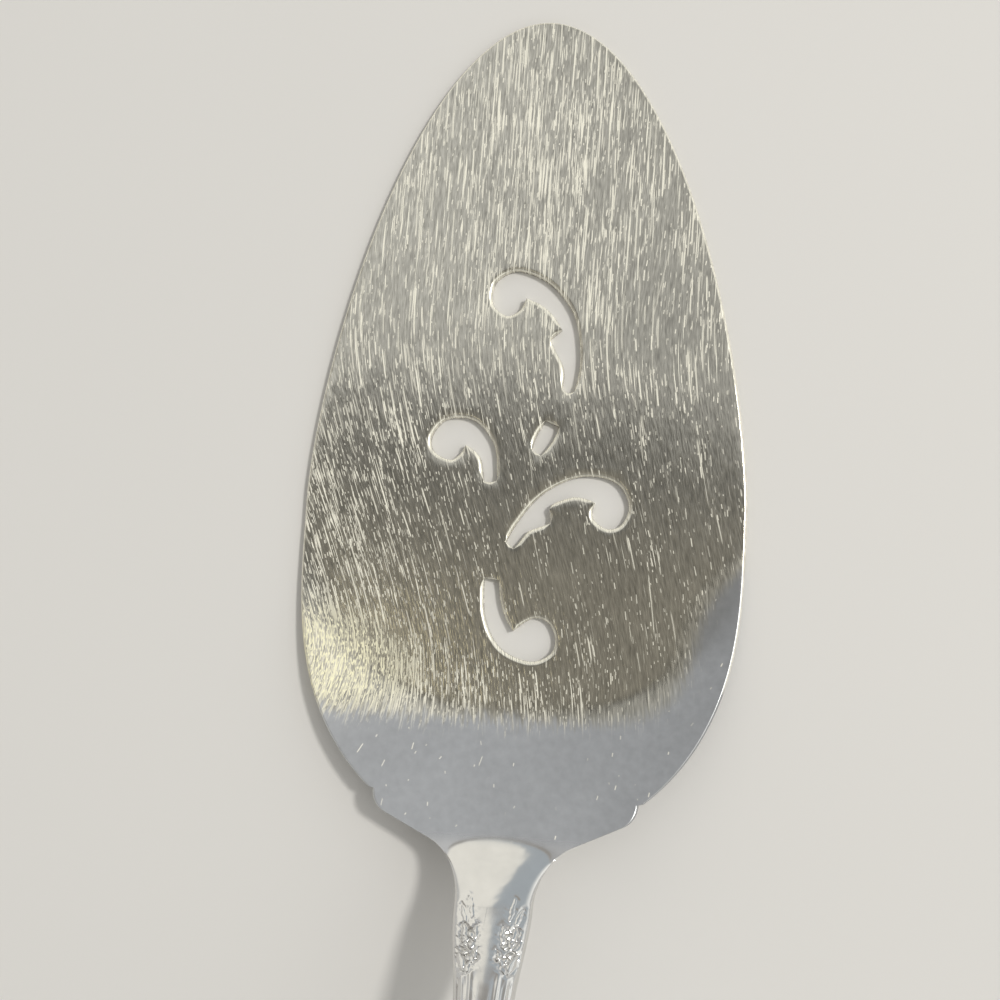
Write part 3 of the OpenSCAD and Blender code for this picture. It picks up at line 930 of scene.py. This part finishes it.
def bud(x, s, centre, radius, ditch):
    """A round bud, half of a ball, in a ditch that is a bell of the distance to its edge."""
    reach = np.hypot(x - centre[0], s - centre[1])
    gap = np.maximum(0, reach - radius)
    return np.stack([np.sqrt(np.maximum(0, 1 - (reach / radius) ** 2)), np.exp(-(gap / ditch) ** 2)])


def ribs(x, s, half, rib_half):
    """Ribs beside the axis that follow the outline, each a bell across, in a wider bell as their ditch."""
    spread = ease((s - WAIST) / (GRIP - WAIST))
    width = rib_half * (1 + RIB_SPREAD * spread)
    total = np.zeros((2, *x.shape))
    for near, far, start in RIBS:
        place = half * (near + (far - near) * spread)
        fade = ease((s - start * MM) / RIB_FADE) * ease((LENGTH - RIB_END - s) / RIB_CLOSE)
        gap = ((np.abs(x) - place) / width) ** 2
        total = np.maximum(total, fade * np.exp(-gap / np.array([1, RIB_DITCH]).reshape(2, 1, 1) ** 2))
    return total


def end_spray(aside, along):
    """Seven leaves that fan out from a point near the end, with a stem at their foot, in millimetres."""
    foot = LENGTH / MM - SPRAY_FOOT
    total = leaf(aside, along, (0, foot - SPRAY_STEM), (0, foot + SPRAY_CORE), SPRAY_STEM_HALF, SPRAY_DITCH)
    for angle, length in SPRAY:
        aim = np.array([np.sin(np.radians(angle)), np.cos(np.radians(angle))])
        base = aim * SPRAY_CORE + [0, foot]
        tip = aim * length + [0, foot]
        total = np.maximum(total, leaf(aside, along, base, tip, SPRAY_LEAF_HALF, SPRAY_DITCH, SPRAY_SWELL))
    return total


def struck_share(x, s, half, rib_half):
    """Share of the relief's depth at each point: the ditches round the ornaments, less the ornaments."""
    aside, along = np.abs(x) / MM, s / MM
    total = np.maximum(ribs(x, s, half, rib_half), end_spray(aside, along))
    shift = wander(x / MM, along)
    aside, along = aside + shift, along - shift
    for base, tip, width, depth in SPRIG:
        total = np.maximum(total, depth * leaf(aside, along, base, tip, width, SPRIG_DITCH))
    for centre, radius in BUDS:
        total = np.maximum(total, bud(aside, along, centre, radius, SPRIG_DITCH))
    level = np.sqrt(np.maximum(0, 1 - (x / np.maximum(half, TINY)) ** 2))
    close = ease(level / SIDE_MARGIN) * ease((LENGTH - s) / END_MARGIN)
    return np.maximum(0, total[1] - total[0]) * close


def darkened(share):
    """Patina of a struck surface: it gathers where the relief is deepest."""
    return ease((share - PATINA_START) / PATINA_RANGE)


def handle_shell(name, sign, look, material, node):
    """One shell: outer surface, struck on the upper one, inner wall, foot along the seam and front."""
    place, share = handle_rows()
    outer = half_section(place, share, HANDLE_COLUMNS, 0, sign)
    inner = half_section(place, share, INNER_COLUMNS, SHELL_WALL, sign)
    half = (waisted(place, NECK_HALF, WAIST_HALF, GRIP_HALF) * share)[:, None]
    sunk = np.zeros(outer.shape[:2])
    if sign > 0:
        sunk = struck_share(outer[..., 0], TIP_Y - outer[..., 1], half, look.rib_half)
        outer[..., 2] -= sunk * look.relief_height
    solid = Solid()
    flip = sign < 0
    skin = solid.grid(outer, flip=flip, patina=darkened(sunk))
    lining = solid.grid(inner, flip=not flip)
    for edge in (0, -1):
        side = np.stack([skin[:, edge], lining[:, edge]], -1)
        first, second = side[:-1], side[1:]
        strip = np.stack([first[:, 0], first[:, 1], second[:, 1], second[:, 0]], -1)
        outward = (edge == 0) == (sign > 0)
        solid.faces.append(strip if outward else strip[:, ::-1])
    front = zipped(skin[0], lining[0])
    solid.faces.append(front if sign > 0 else front[:, ::-1])
    return solid.piece(name, material, "handle_steel", node)


# Shader maths. Sockets of a Mix node share their names, so those for colours go by number.
MIX_SHARE, MIX_FIRST, MIX_SECOND, MIX_RESULT = 0, 6, 7, 2


class Wire:
    """A value that leaves a socket. Arithmetic on wires adds Math nodes to their tree."""

    def __init__(self, tree, socket=None):
        self.tree = tree
        self.socket = socket

    def node(self, kind, settings=None, sockets=None, out=0):
        """Adds a node of a type, sets it up, fills its sockets and returns one of its outputs."""
        made = self.tree.nodes.new(kind)
        for name, value in (settings or {}).items():
            setattr(made, name, value)
        for key, value in (sockets or {}).items():
            if isinstance(value, Wire):
                self.tree.links.new(value.socket, made.inputs[key])
            else:
                made.inputs[key].default_value = value
        return Wire(self.tree, made.outputs[out] if made.outputs else None)

    def math(self, operation, first, second=0.0):
        """A Math node of two values."""
        return self.node("ShaderNodeMath", {"operation": operation}, {0: first, 1: second})

    def __add__(self, other):
        return self.math("ADD", self, other)

    __radd__ = __add__

    def __sub__(self, other):
        return self.math("SUBTRACT", self, other)

    def __rsub__(self, other):
        return self.math("SUBTRACT", other, self)

    def __mul__(self, other):
        return self.math("MULTIPLY", self, other)

    def __truediv__(self, other):
        return self.math("DIVIDE", self, other)

    def __pow__(self, other):
        return self.math("POWER", self, other)

    def __abs__(self):
        return self.math("ABSOLUTE", self)

    def floor(self):
        return self.math("FLOOR", self)

    def fract(self):
        return self.math("FRACT", self)

    def least(self, other):
        return self.math("MINIMUM", self, other)

    def most(self, other):
        return self.math("MAXIMUM", self, other)

    def step(self, low, high, at_low=0.0, at_high=1.0):
        """A smooth step from one value at low to another at high."""
        sockets = {"Value": self, "From Min": low, "From Max": high, "To Min": at_low, "To Max": at_high}
        return self.node("ShaderNodeMapRange", {"interpolation_type": "SMOOTHSTEP"}, sockets)

    def fall(self, low, high):
        """A smooth step from 1 at low to 0 at high."""
        return self.step(low, high, 1.0, 0.0)

    def mix(self, first, second):
        """A colour between two colours, with this value as the share of the second."""
        sockets = {MIX_SHARE: self, MIX_FIRST: first, MIX_SECOND: second}
        return self.node("ShaderNodeMix", {"data_type": "RGBA"}, sockets, MIX_RESULT)

    def scaled(self, share):
        """This colour or vector times a value."""
        return self.node("ShaderNodeVectorMath", {"operation": "SCALE"}, {0: self, "Scale": share})

    def vector(self, x, y, z=0.0):
        """A vector of three values."""
        return self.node("ShaderNodeCombineXYZ", None, {0: x, 1: y, 2: z})

    def parts(self):
        """The three parts of a vector or colour."""
        split = self.node("ShaderNodeSeparateXYZ", None, {0: self})
        return [Wire(self.tree, socket) for socket in split.socket.node.outputs]

    def noise(self, scale, detail=2.0, roughness=0.5):
        """Noise with this wire as its vector."""
        sockets = {"Vector": self, "Scale": scale, "Detail": detail, "Roughness": roughness}
        return self.node("ShaderNodeTexNoise", {"noise_dimensions": "3D"}, sockets)

    def object_place(self):
        """Place on the piece, in metres."""
        return self.node("ShaderNodeTexCoord", None, None, "Object")

    def attribute(self, name):
        """A value that the piece carries at its points."""
        return self.node("ShaderNodeAttribute", {"attribute_name": name}, None, "Fac")

    def bump(self, height, depth=BUMP_DEPTH, strength=1.0):
        """Normals of a surface raised by height times depth."""
        return self.node("ShaderNodeBump", None, {"Strength": strength, "Distance": depth, "Height": height})

    def chance(self):
        """Three random values for each value of this vector."""
        kind = {"noise_dimensions": "3D"}
        return self.node("ShaderNodeTexWhiteNoise", kind, {"Vector": self}, "Color").parts()


def new_material(name):
    """An empty node material and a wire to start from."""
    material = bpy.data.materials.new(name)
    material.use_nodes = True
    tree = material.node_tree
    tree.nodes.clear()
    return material, Wire(tree)


def colour(rgb):
    """A colour property as four numbers."""
    return (*rgb, 1.0)


def tinted(rgb, tone):
    """A colour property made darker or lighter, as four numbers."""
    return colour([min(1, part * tone) for part in rgb])


def finish_material(start, sockets):
    """Puts a Principled shader with these sockets on the material's output."""
    shader = start.node("ShaderNodeBsdfPrincipled", None, sockets)
    start.node("ShaderNodeOutputMaterial", None, {"Surface": shader})


def streaks(x, s, across, along, seed):
    """Noise drawn out along the blade, in cells of across by along millimetres."""
    return x.vector(x / across, s / along, seed).noise(1.0, 1.0)


def glints(x, s, level, across, along, seed):
    """The crests of drawn-out noise above a level, as short scratches that taper at both ends."""
    return streaks(x, s, across, along, seed).step(level, level + GLINT_SOFTNESS)


def marks(x, s, fill, across, along, lean, width, seed):
    """Straight marks, at most one to a cell of a leaning grid, each with its own place, drift and length."""
    turn = np.radians(lean)
    u = (x * np.cos(turn) - s * np.sin(turn)) / across
    column = u.floor()
    shift = x.vector(column, seed, MARK_SHIFT_SEED).chance()[0]
    v = (x * np.sin(turn) + s * np.cos(turn)) / along + shift * MARK_SHIFT
    row = v.floor()
    luck, drift, long = x.vector(column, row, seed).chance()
    keep, thick, _ = x.vector(row, column, seed + MARK_SECOND_SEED).chance()
    run = v.fract() - 0.5
    aside = u.fract() - (luck * MARK_PLACE[1] + MARK_PLACE[0])
    aside = abs(aside - run * (drift - 0.5) * MARK_DRIFT) * across
    reach = long * MARK_REACH[1] + MARK_REACH[0]
    body = aside.fall(MARK_SIDES[0] * width, MARK_SIDES[1] * width)
    body = body * (thick * MARK_BRIGHT[1] + MARK_BRIGHT[0])
    ends = (abs(run) / reach).fall(*MARK_ENDS)
    return body * ends * keep.step(1 - fill, 1 - fill + MARK_CHANCE)


def floor_reach(x, s, swept):
    """1 at the edge of the scratched floor and more beyond it: behind it, and past its right side."""
    back = ((s - FLOOR_START / MM) / SCRATCH_LENGTH).most(0.0)
    side = x.most(0.0) / SCRATCH_HALF * s.step(*SCRATCH_SIDE_SPAN)
    reach = (back ** SCRATCH_SQUARENESS + side ** SCRATCH_SQUARENESS) ** (1 / SCRATCH_SQUARENESS)
    return reach + (streaks(swept, s, *RAGGED) - MID_NOISE) * x.step(*RAGGED_SPAN)


def spot(x, s, centre, radii):
    """1 in the middle of an ellipse on the blade, falling smoothly to 0 outside it."""
    return (((x - centre[0]) / radii[0]) ** 2.0 + ((s - centre[1]) / radii[1]) ** 2.0).fall(*SPOT_FADE)


def swept_across(x, s):
    """Place across the blade, measured along the scratches, which sweep over and turn back at the heel."""
    sweep = s.step(*SWEEP_SPAN) * SWEEP * (1.0 - x * SWEEP_FLARE)
    turn = s.step(*HEEL_TURN_SPAN) * HEEL_TURN * x.fall(*HEEL_TURN_SIDE)
    return x - s * SWEEP_START - sweep + turn


def wear_share(x, s, swept, front, worn_glow):
    """Share of wear, which also sets how much painted glint the scratches show: most in front and at the rear
    left, where the worn patch is also a painted warm glow, less on the right, uneven in long clusters.
    """
    left = x.fall(*LEFT_SPAN) * (1.0 - front)
    cluster = streaks(swept, s, *CLUSTERS) - MID_NOISE
    clump = streaks(swept, s, *CLUMPS) - MID_NOISE
    right = x.step(*RIGHT_SPAN) * front
    share = LEAST_WEAR + front * FRONT_WEAR + left * LEFT_WEAR + worn_glow * GLOW_PATCH_WEAR - right * RIGHT_WEAR
    share = share + cluster * CLUSTER_WEAR + clump * CLUMP_WEAR
    for centre, radii, more in WEAR_SPOTS:
        share = share + spot(x, s, centre, radii) * more
    return share


def scratches(x, s, swept, worn_glow):
    """Share of scratch at each point, painted bright as the glints that scratches catch: glints of three
    lengths, dots, then straight marks.

    The layers are joined one by one, because Cycles holds only so many values at once.
    """
    front = s.fall(*FRONT_SPAN)
    wear = wear_share(x, s, swept, front, worn_glow)
    level = (GLINT_LEVEL - wear * GLINT_GAIN).most(GLINT_LEAST)
    found = glints(swept, s, level + SHORT_RAISE + front * SHORT_FRONT_RAISE, *SHORT_GLINTS) * SHORT_STRENGTH
    found = found.most(glints(swept, s, level + front * MIDDLE_FRONT_RAISE, *MIDDLE_GLINTS))
    found = found.most(glints(swept, s, level, *LONG_GLINTS))
    found = found * (1.0 - worn_glow * PATCH_THINNING)
    found = found.most(glints(swept, s, DOT_LEVEL - worn_glow * DOT_GAIN, *DOTS))
    lines = wear * (LINE_FILL + front * LINE_FRONT_FILL)
    found = found.most(marks(swept, s, lines, *LONG_MARKS))
    found = found.most(marks(swept, s, lines, *MIDDLE_MARKS))
    small = wear * (1.0 - front * SMALL_FRONT_LOSS)
    found = found.most(marks(swept, s, small, *SHORT_MARKS))
    found = found.most(marks(swept, s, small, *TINY_MARKS) * TINY_STRENGTH)
    found = found.most(marks(swept, s, STRAY_FILL, *STRAY_MARKS) * STRAY_STRENGTH)
    return found * (SCRATCH_STRENGTH + wear).least(1.0)


def polish(start, place, look):
    """Colour, height and darkness of polished steel: blotches, shallow unevenness and dark recesses."""
    recess = start.attribute("patina")
    blotch = place.noise(*BLOTCH)
    bright = blotch.mix(*[tinted(look.steel, tone) for tone in BLOTCH_TONES])
    dark = recess * (RECESS_DARK + blotch * RECESS_BLOTCH)
    return dark.mix(bright, colour(look.patina)), place.noise(*UNEVEN), dark


def blade_material(look, handle):
    """Worn stainless sheet: a floor scratched lengthwise, its scratches and edges painted bright as glints, a
    smooth satin heel with painted shade at its bend and a painted reflection across it, and a polished neck.
    """
    material, start = new_material("scratched_steel")
    place = start.object_place()
    x, y, _ = [part / MM for part in place.parts()]
    s = TIP_Y / MM - y
    swept = swept_across(x, s)
    reach = floor_reach(x, s, swept)
    heel = reach.step(*HEEL_REACH)
    # Painted shade: a dark band at the bend between floor and heel.
    bend_shade = reach.step(*BEND_SHADE_REACH)
    rim = start.attribute("rim").step(*RIM_SPAN)
    fading = reach.fall(*FADE_REACH) * (1.0 - rim)
    # Wear, and a painted warm glow, at the lower left.
    worn_glow = spot(x, s, *WORN_GLOW_PATCH)
    neck = s.step(*NECK_SPAN)
    scratch_glint = scratches(x, s, swept, worn_glow) * fading
    for fill, layer in HEEL_MARKS:
        scratch_glint = scratch_glint.most(marks(x, s, fill, *layer) * (heel - neck) * HEEL_MARK_STRENGTH)
    # Edge wear, painted bright as a highlight on the lit side.
    edge = start.attribute("edge_wear")
    hair = streaks(swept, s, *HAIRS) - MID_NOISE
    strand = streaks(swept, s, *STRANDS) - MID_NOISE
    scratch_glint = scratch_glint.most(edge * (EDGE_GLINT_STRENGTH + hair)).least(1.0)
    floor = 1.0 - heel
    cloud = place.noise(*CLOUD) - MID_NOISE
    polished, unevenness, _ = polish(start, place, handle)
    sheet = heel.mix(colour(look.floor_steel), colour(look.heel_steel))
    mottle = place.noise(*MOTTLE) - MID_NOISE
    tone = 1.0 + (hair + strand * STRAND_TONE) * floor * (1.0 - rim) + cloud * CLOUD_TONE
    # Painted reflection: the heel darkens towards the right.
    tone = tone + (mottle * MOTTLE_TONE - x * HEEL_SIDE_REFLECTION) * heel
    # Painted shade at the bend, weaker on the heel.
    tone = tone - bend_shade * (1.0 - heel * BEND_SHADE_LOSS) * x.step(*BEND_SHADE_SIDE)
    steel = neck.mix(sheet.scaled(tone), polished)
    # Scratches are painted near white as glints, and yellow in the worn patch as a painted warm reflection.
    base = scratch_glint.mix(steel, worn_glow.mix(colour(look.scratch_glint_steel), colour(look.warm_glint_steel)))
    rough = SHEET_ROUGH + floor * hair * HAIR_ROUGH + bend_shade.most(worn_glow) * WORN_ROUGH
    rough = rough - neck * NECK_POLISH + scratch_glint * SCRATCH_ROUGH
    grooves = (hair + strand) * GROOVE_DEPTH * floor
    dapple = place.noise(*DAPPLE) * (heel - neck) * DAPPLE_DEPTH
    bump = start.bump(grooves + dapple + unevenness * neck * UNEVEN_DEPTH)
    metal = 1.0 - scratch_glint
    finish_material(start, {"Base Color": base, "Metallic": metal, "Roughness": rough, "Normal": bump})
    return material


def handle_material(look):
    """Polished steel with hairline wear and darkened recesses round the relief."""
    material, start = new_material("polished_steel")
    place = start.object_place()
    x, y, _ = [part / MM for part in place.parts()]
    polished, unevenness, dark = polish(start, place, look)
    first, second = [marks(x, y, fill, *layer) for fill, layer in HANDLE_MARKS]
    hairline = first.most(second)
    rough = HANDLE_ROUGH + dark * RECESS_ROUGH + hairline * HAIRLINE_ROUGH
    bump = start.bump(unevenness * UNEVEN_DEPTH - hairline * HAIRLINE_DEPTH)
    finish_material(start, {"Base Color": polished, "Metallic": 1.0, "Roughness": rough, "Normal": bump})
    return material


def cement_material(look):
    """Dull cast cement with specks and a pitted face."""
    material, start = new_material("cast_cement")
    speck = start.object_place().noise(*SPECK)
    base = speck.mix(*[tinted(look.cement, tone) for tone in SPECK_TONES])
    bump = start.bump(speck, SPECK_DEPTH, SPECK_STRENGTH)
    rough = CEMENT_ROUGH + speck * SPECK_ROUGH
    finish_material(start, {"Base Color": base, "Roughness": rough, "Normal": bump})
    return material


def floor_material(look):
    """Plain matt floor with a faint tone change."""
    material, start = new_material("plain_floor")
    tone = start.object_place().noise(*STAGE_CLOUD)
    base = tone.mix(tinted(look.floor_colour, STAGE_TONE), colour(look.floor_colour))
    finish_material(start, {"Base Color": base, "Roughness": STAGE_ROUGH})
    return material


# Stage
def surroundings(x, y, z):
    """Colour of the surroundings by direction.

    They are grey ahead, dark overhead, white low on the left, bluish in front, dim over the stem and far on
    the left, bright on the right, and plain near the horizon and low behind.
    """
    up = z.most(LEAST_UP)
    across, ahead = x / up, y / up
    softness = abs(across + OVERHEAD_SHIFT).step(*OVERHEAD_SOFTNESS)
    edge = (ahead + across.step(*OVERHEAD_EDGE)) / softness
    overhead = edge.fall(-1.0, 1.0) * ahead.step(*OVERHEAD_BACK) * across.step(*OVERHEAD_LEFT)
    low = z.fall(*LOW_TOP)
    lean = (x + z * BLUE_LEAN).step(*BLUE_LEFT)
    white = (1.0 - lean) * (z - x * WHITE_LEAN).fall(*WHITE_TOP) * y.step(*WHITE_BACK)
    blue = lean * low * y.step(*BLUE_BACK)
    dim = z.step(*DIM_LOW) * y.step(*DIM_BACK)
    dim = dim.most(x.fall(*DIM_LEFT) * y.fall(*DIM_LEFT_FRONT))
    right = across.step(*RIGHT_ACROSS) * y.fall(*RIGHT_FRONT)
    right = right.most(x.step(*RIGHT_LOW) * low)
    panel = across.step(*PANEL_ACROSS).mix(OVERHEAD_LEFT_LIGHT, OVERHEAD_LIGHT)
    panel = ahead.step(*PANEL_AHEAD).mix(panel, OVERHEAD_FRONT_LIGHT)
    level = across.step(*FRONT_ACROSS).mix(FRONT_LEFT_LIGHT, FRONT_LIGHT)
    level = overhead.mix(level, panel)
    for share, light in [(white, WHITE_LIGHT), (blue, BLUE_LIGHT), (dim, DIM_LIGHT), (right, RIGHT_LIGHT)]:
        level = share.mix(level, light)
    plain = z.fall(*HORIZON_TOP).most(z.fall(*REAR_TOP) * y.fall(*REAR_FRONT))
    return plain.mix(level, BACKDROP)


def world_light(scene):
    """A world that shines with the colours of the surroundings."""
    world = bpy.data.worlds.new("studio")
    world.use_nodes = True
    world.node_tree.nodes.clear()
    start = Wire(world.node_tree)
    aim = start.node("ShaderNodeTexCoord", None, None, "Generated")
    light = start.node("ShaderNodeBackground", None, {"Color": surroundings(*aim.parts()), "Strength": 1.0})
    start.node("ShaderNodeOutputWorld", None, {"Surface": light})
    scene.world = world


def area_light(name, power, direction, distance, size, tint):
    """A round area light that points at the middle of the server."""
    lamp = bpy.data.lights.new(name, "AREA")
    lamp.shape = "DISK"
    lamp.size = size
    lamp.energy = power
    lamp.color = tint
    holder = bpy.data.objects.new(name, lamp)
    aim = Vector(direction).normalized()
    holder.location = aim * distance
    holder.rotation_euler = aim.to_track_quat("Z", "Y").to_euler()
    bpy.context.scene.collection.objects.link(holder)


def stage_point(across, back, height):
    """A place in millimetres to the right, back from the tip and up, as a point in metres."""
    return Vector((across, TIP_Y / MM - back, height)) * MM


def camera(scene, lens):
    """Camera over the blade, tilted to its aim, with the server leaning a little in the picture."""
    place = stage_point(*CAMERA_PLACE)
    aim = stage_point(*CAMERA_AIM)
    lean = np.radians(CAMERA_LEAN)
    ahead = (aim - place).normalized()
    level = Vector((0, 1, 0))
    upright = (level - ahead * level.dot(ahead)).normalized()
    up = upright * np.cos(lean) + ahead.cross(upright) * np.sin(lean)
    data = bpy.data.cameras.new("camera")
    data.lens = lens
    data.sensor_width = CAMERA_SENSOR
    data.clip_start = CAMERA_CLIP
    holder = bpy.data.objects.new("camera", data)
    turn = Matrix((ahead.cross(up), up, -ahead)).transposed()
    holder.matrix_world = Matrix.Translation(place) @ turn.to_4x4()
    scene.collection.objects.link(holder)
    scene.camera = holder


# Operators
class SERVER_OT_blade(bpy.types.Operator):
    """Builds the pierced blade with its heel, neck and tang"""
    bl_idname = "server.blade"
    bl_label = "Blade"

    def execute(self, context):
        look = context.scene.server_look
        columns = np.sin(np.linspace(-np.pi / 2, np.pi / 2, BLADE_COLUMNS + 1))
        solid = Solid()
        blade_plate(solid, look.blade, columns)
        blade_rear(solid, look.blade, look.handle, columns)
        tang(solid)
        solid.piece("blade_pierced", blade_material(look.blade, look.handle), "blade_steel", "blade")
        return {"FINISHED"}


class SERVER_OT_handle_shells(bpy.types.Operator):
    """Builds the two struck shells of the hollow handle"""
    bl_idname = "server.handle_shells"
    bl_label = "Handle shells"

    def execute(self, context):
        look = context.scene.server_look.handle
        steel = handle_material(look)
        handle_shell("handle_top_struck", 1, look, steel, "handle_top_shell")
        handle_shell("handle_bottom_struck", -1, look, steel, "handle_bottom_shell")
        return {"FINISHED"}


class SERVER_OT_filler(bpy.types.Operator):
    """Gives the cement inside the handle its finish"""
    bl_idname = "server.filler"
    bl_label = "Filler"

    def execute(self, context):
        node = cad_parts["handle_filler"]
        node.data.materials.clear()
        node.data.materials.append(cement_material(context.scene.server_look.handle))
        return {"FINISHED"}


class SERVER_OT_stage(bpy.types.Operator):
    """Builds the floor, the lights and the camera"""
    bl_idname = "server.stage"
    bl_label = "Stage"

    def execute(self, context):
        scene = context.scene
        look = scene.server_look.stage
        reach = STAGE_HALF
        mesh = bpy.data.meshes.new("floor")
        corners = [(-reach, -reach, 0), (reach, -reach, 0), (reach, reach, 0), (-reach, reach, 0)]
        mesh.from_pydata(corners, [], [(0, 1, 2, 3)])
        mesh.materials.append(floor_material(look))
        floor = bpy.data.objects.new("floor", mesh)
        scene.collection.objects.link(floor)
        world_light(scene)
        area_light("key", look.key_power, **KEY_LAMP)
        area_light("warm", look.warm_power, **WARM_LAMP)
        camera(scene, look.lens)
        scene.view_settings.view_transform = "Standard"
        return {"FINISHED"}


class SERVER_PT_looks(bpy.types.Panel):
    """Lists the settings and the pieces of the pie server"""
    bl_idname = "SERVER_PT_looks"
    bl_label = "Pie Server"
    bl_space_type = "VIEW_3D"
    bl_region_type = "UI"
    bl_category = "Pie Server"

    def draw(self, context):
        look = context.scene.server_look
        for group in (look.blade, look.handle, look.stage):
            box = self.layout.box()
            for name in group.__annotations__:
                box.prop(group, name)
        for operator in OPERATORS:
            self.layout.operator(operator.bl_idname)


OPERATORS = (SERVER_OT_blade, SERVER_OT_handle_shells, SERVER_OT_filler, SERVER_OT_stage)
CLASSES = (BladeLook, HandleLook, StageLook, ServerLook, *OPERATORS, SERVER_PT_looks)


def register():
    for item in CLASSES:
        bpy.utils.register_class(item)
    bpy.types.Scene.server_look = bpy.props.PointerProperty(type=ServerLook)


def unregister():
    del bpy.types.Scene.server_look
    for item in reversed(CLASSES):
        bpy.utils.unregister_class(item)


def main():
    register()
    bpy.ops.server.blade()
    bpy.ops.server.handle_shells()
    bpy.ops.server.filler()
    bpy.ops.server.stage()


if __name__ == "__main__":
    main()
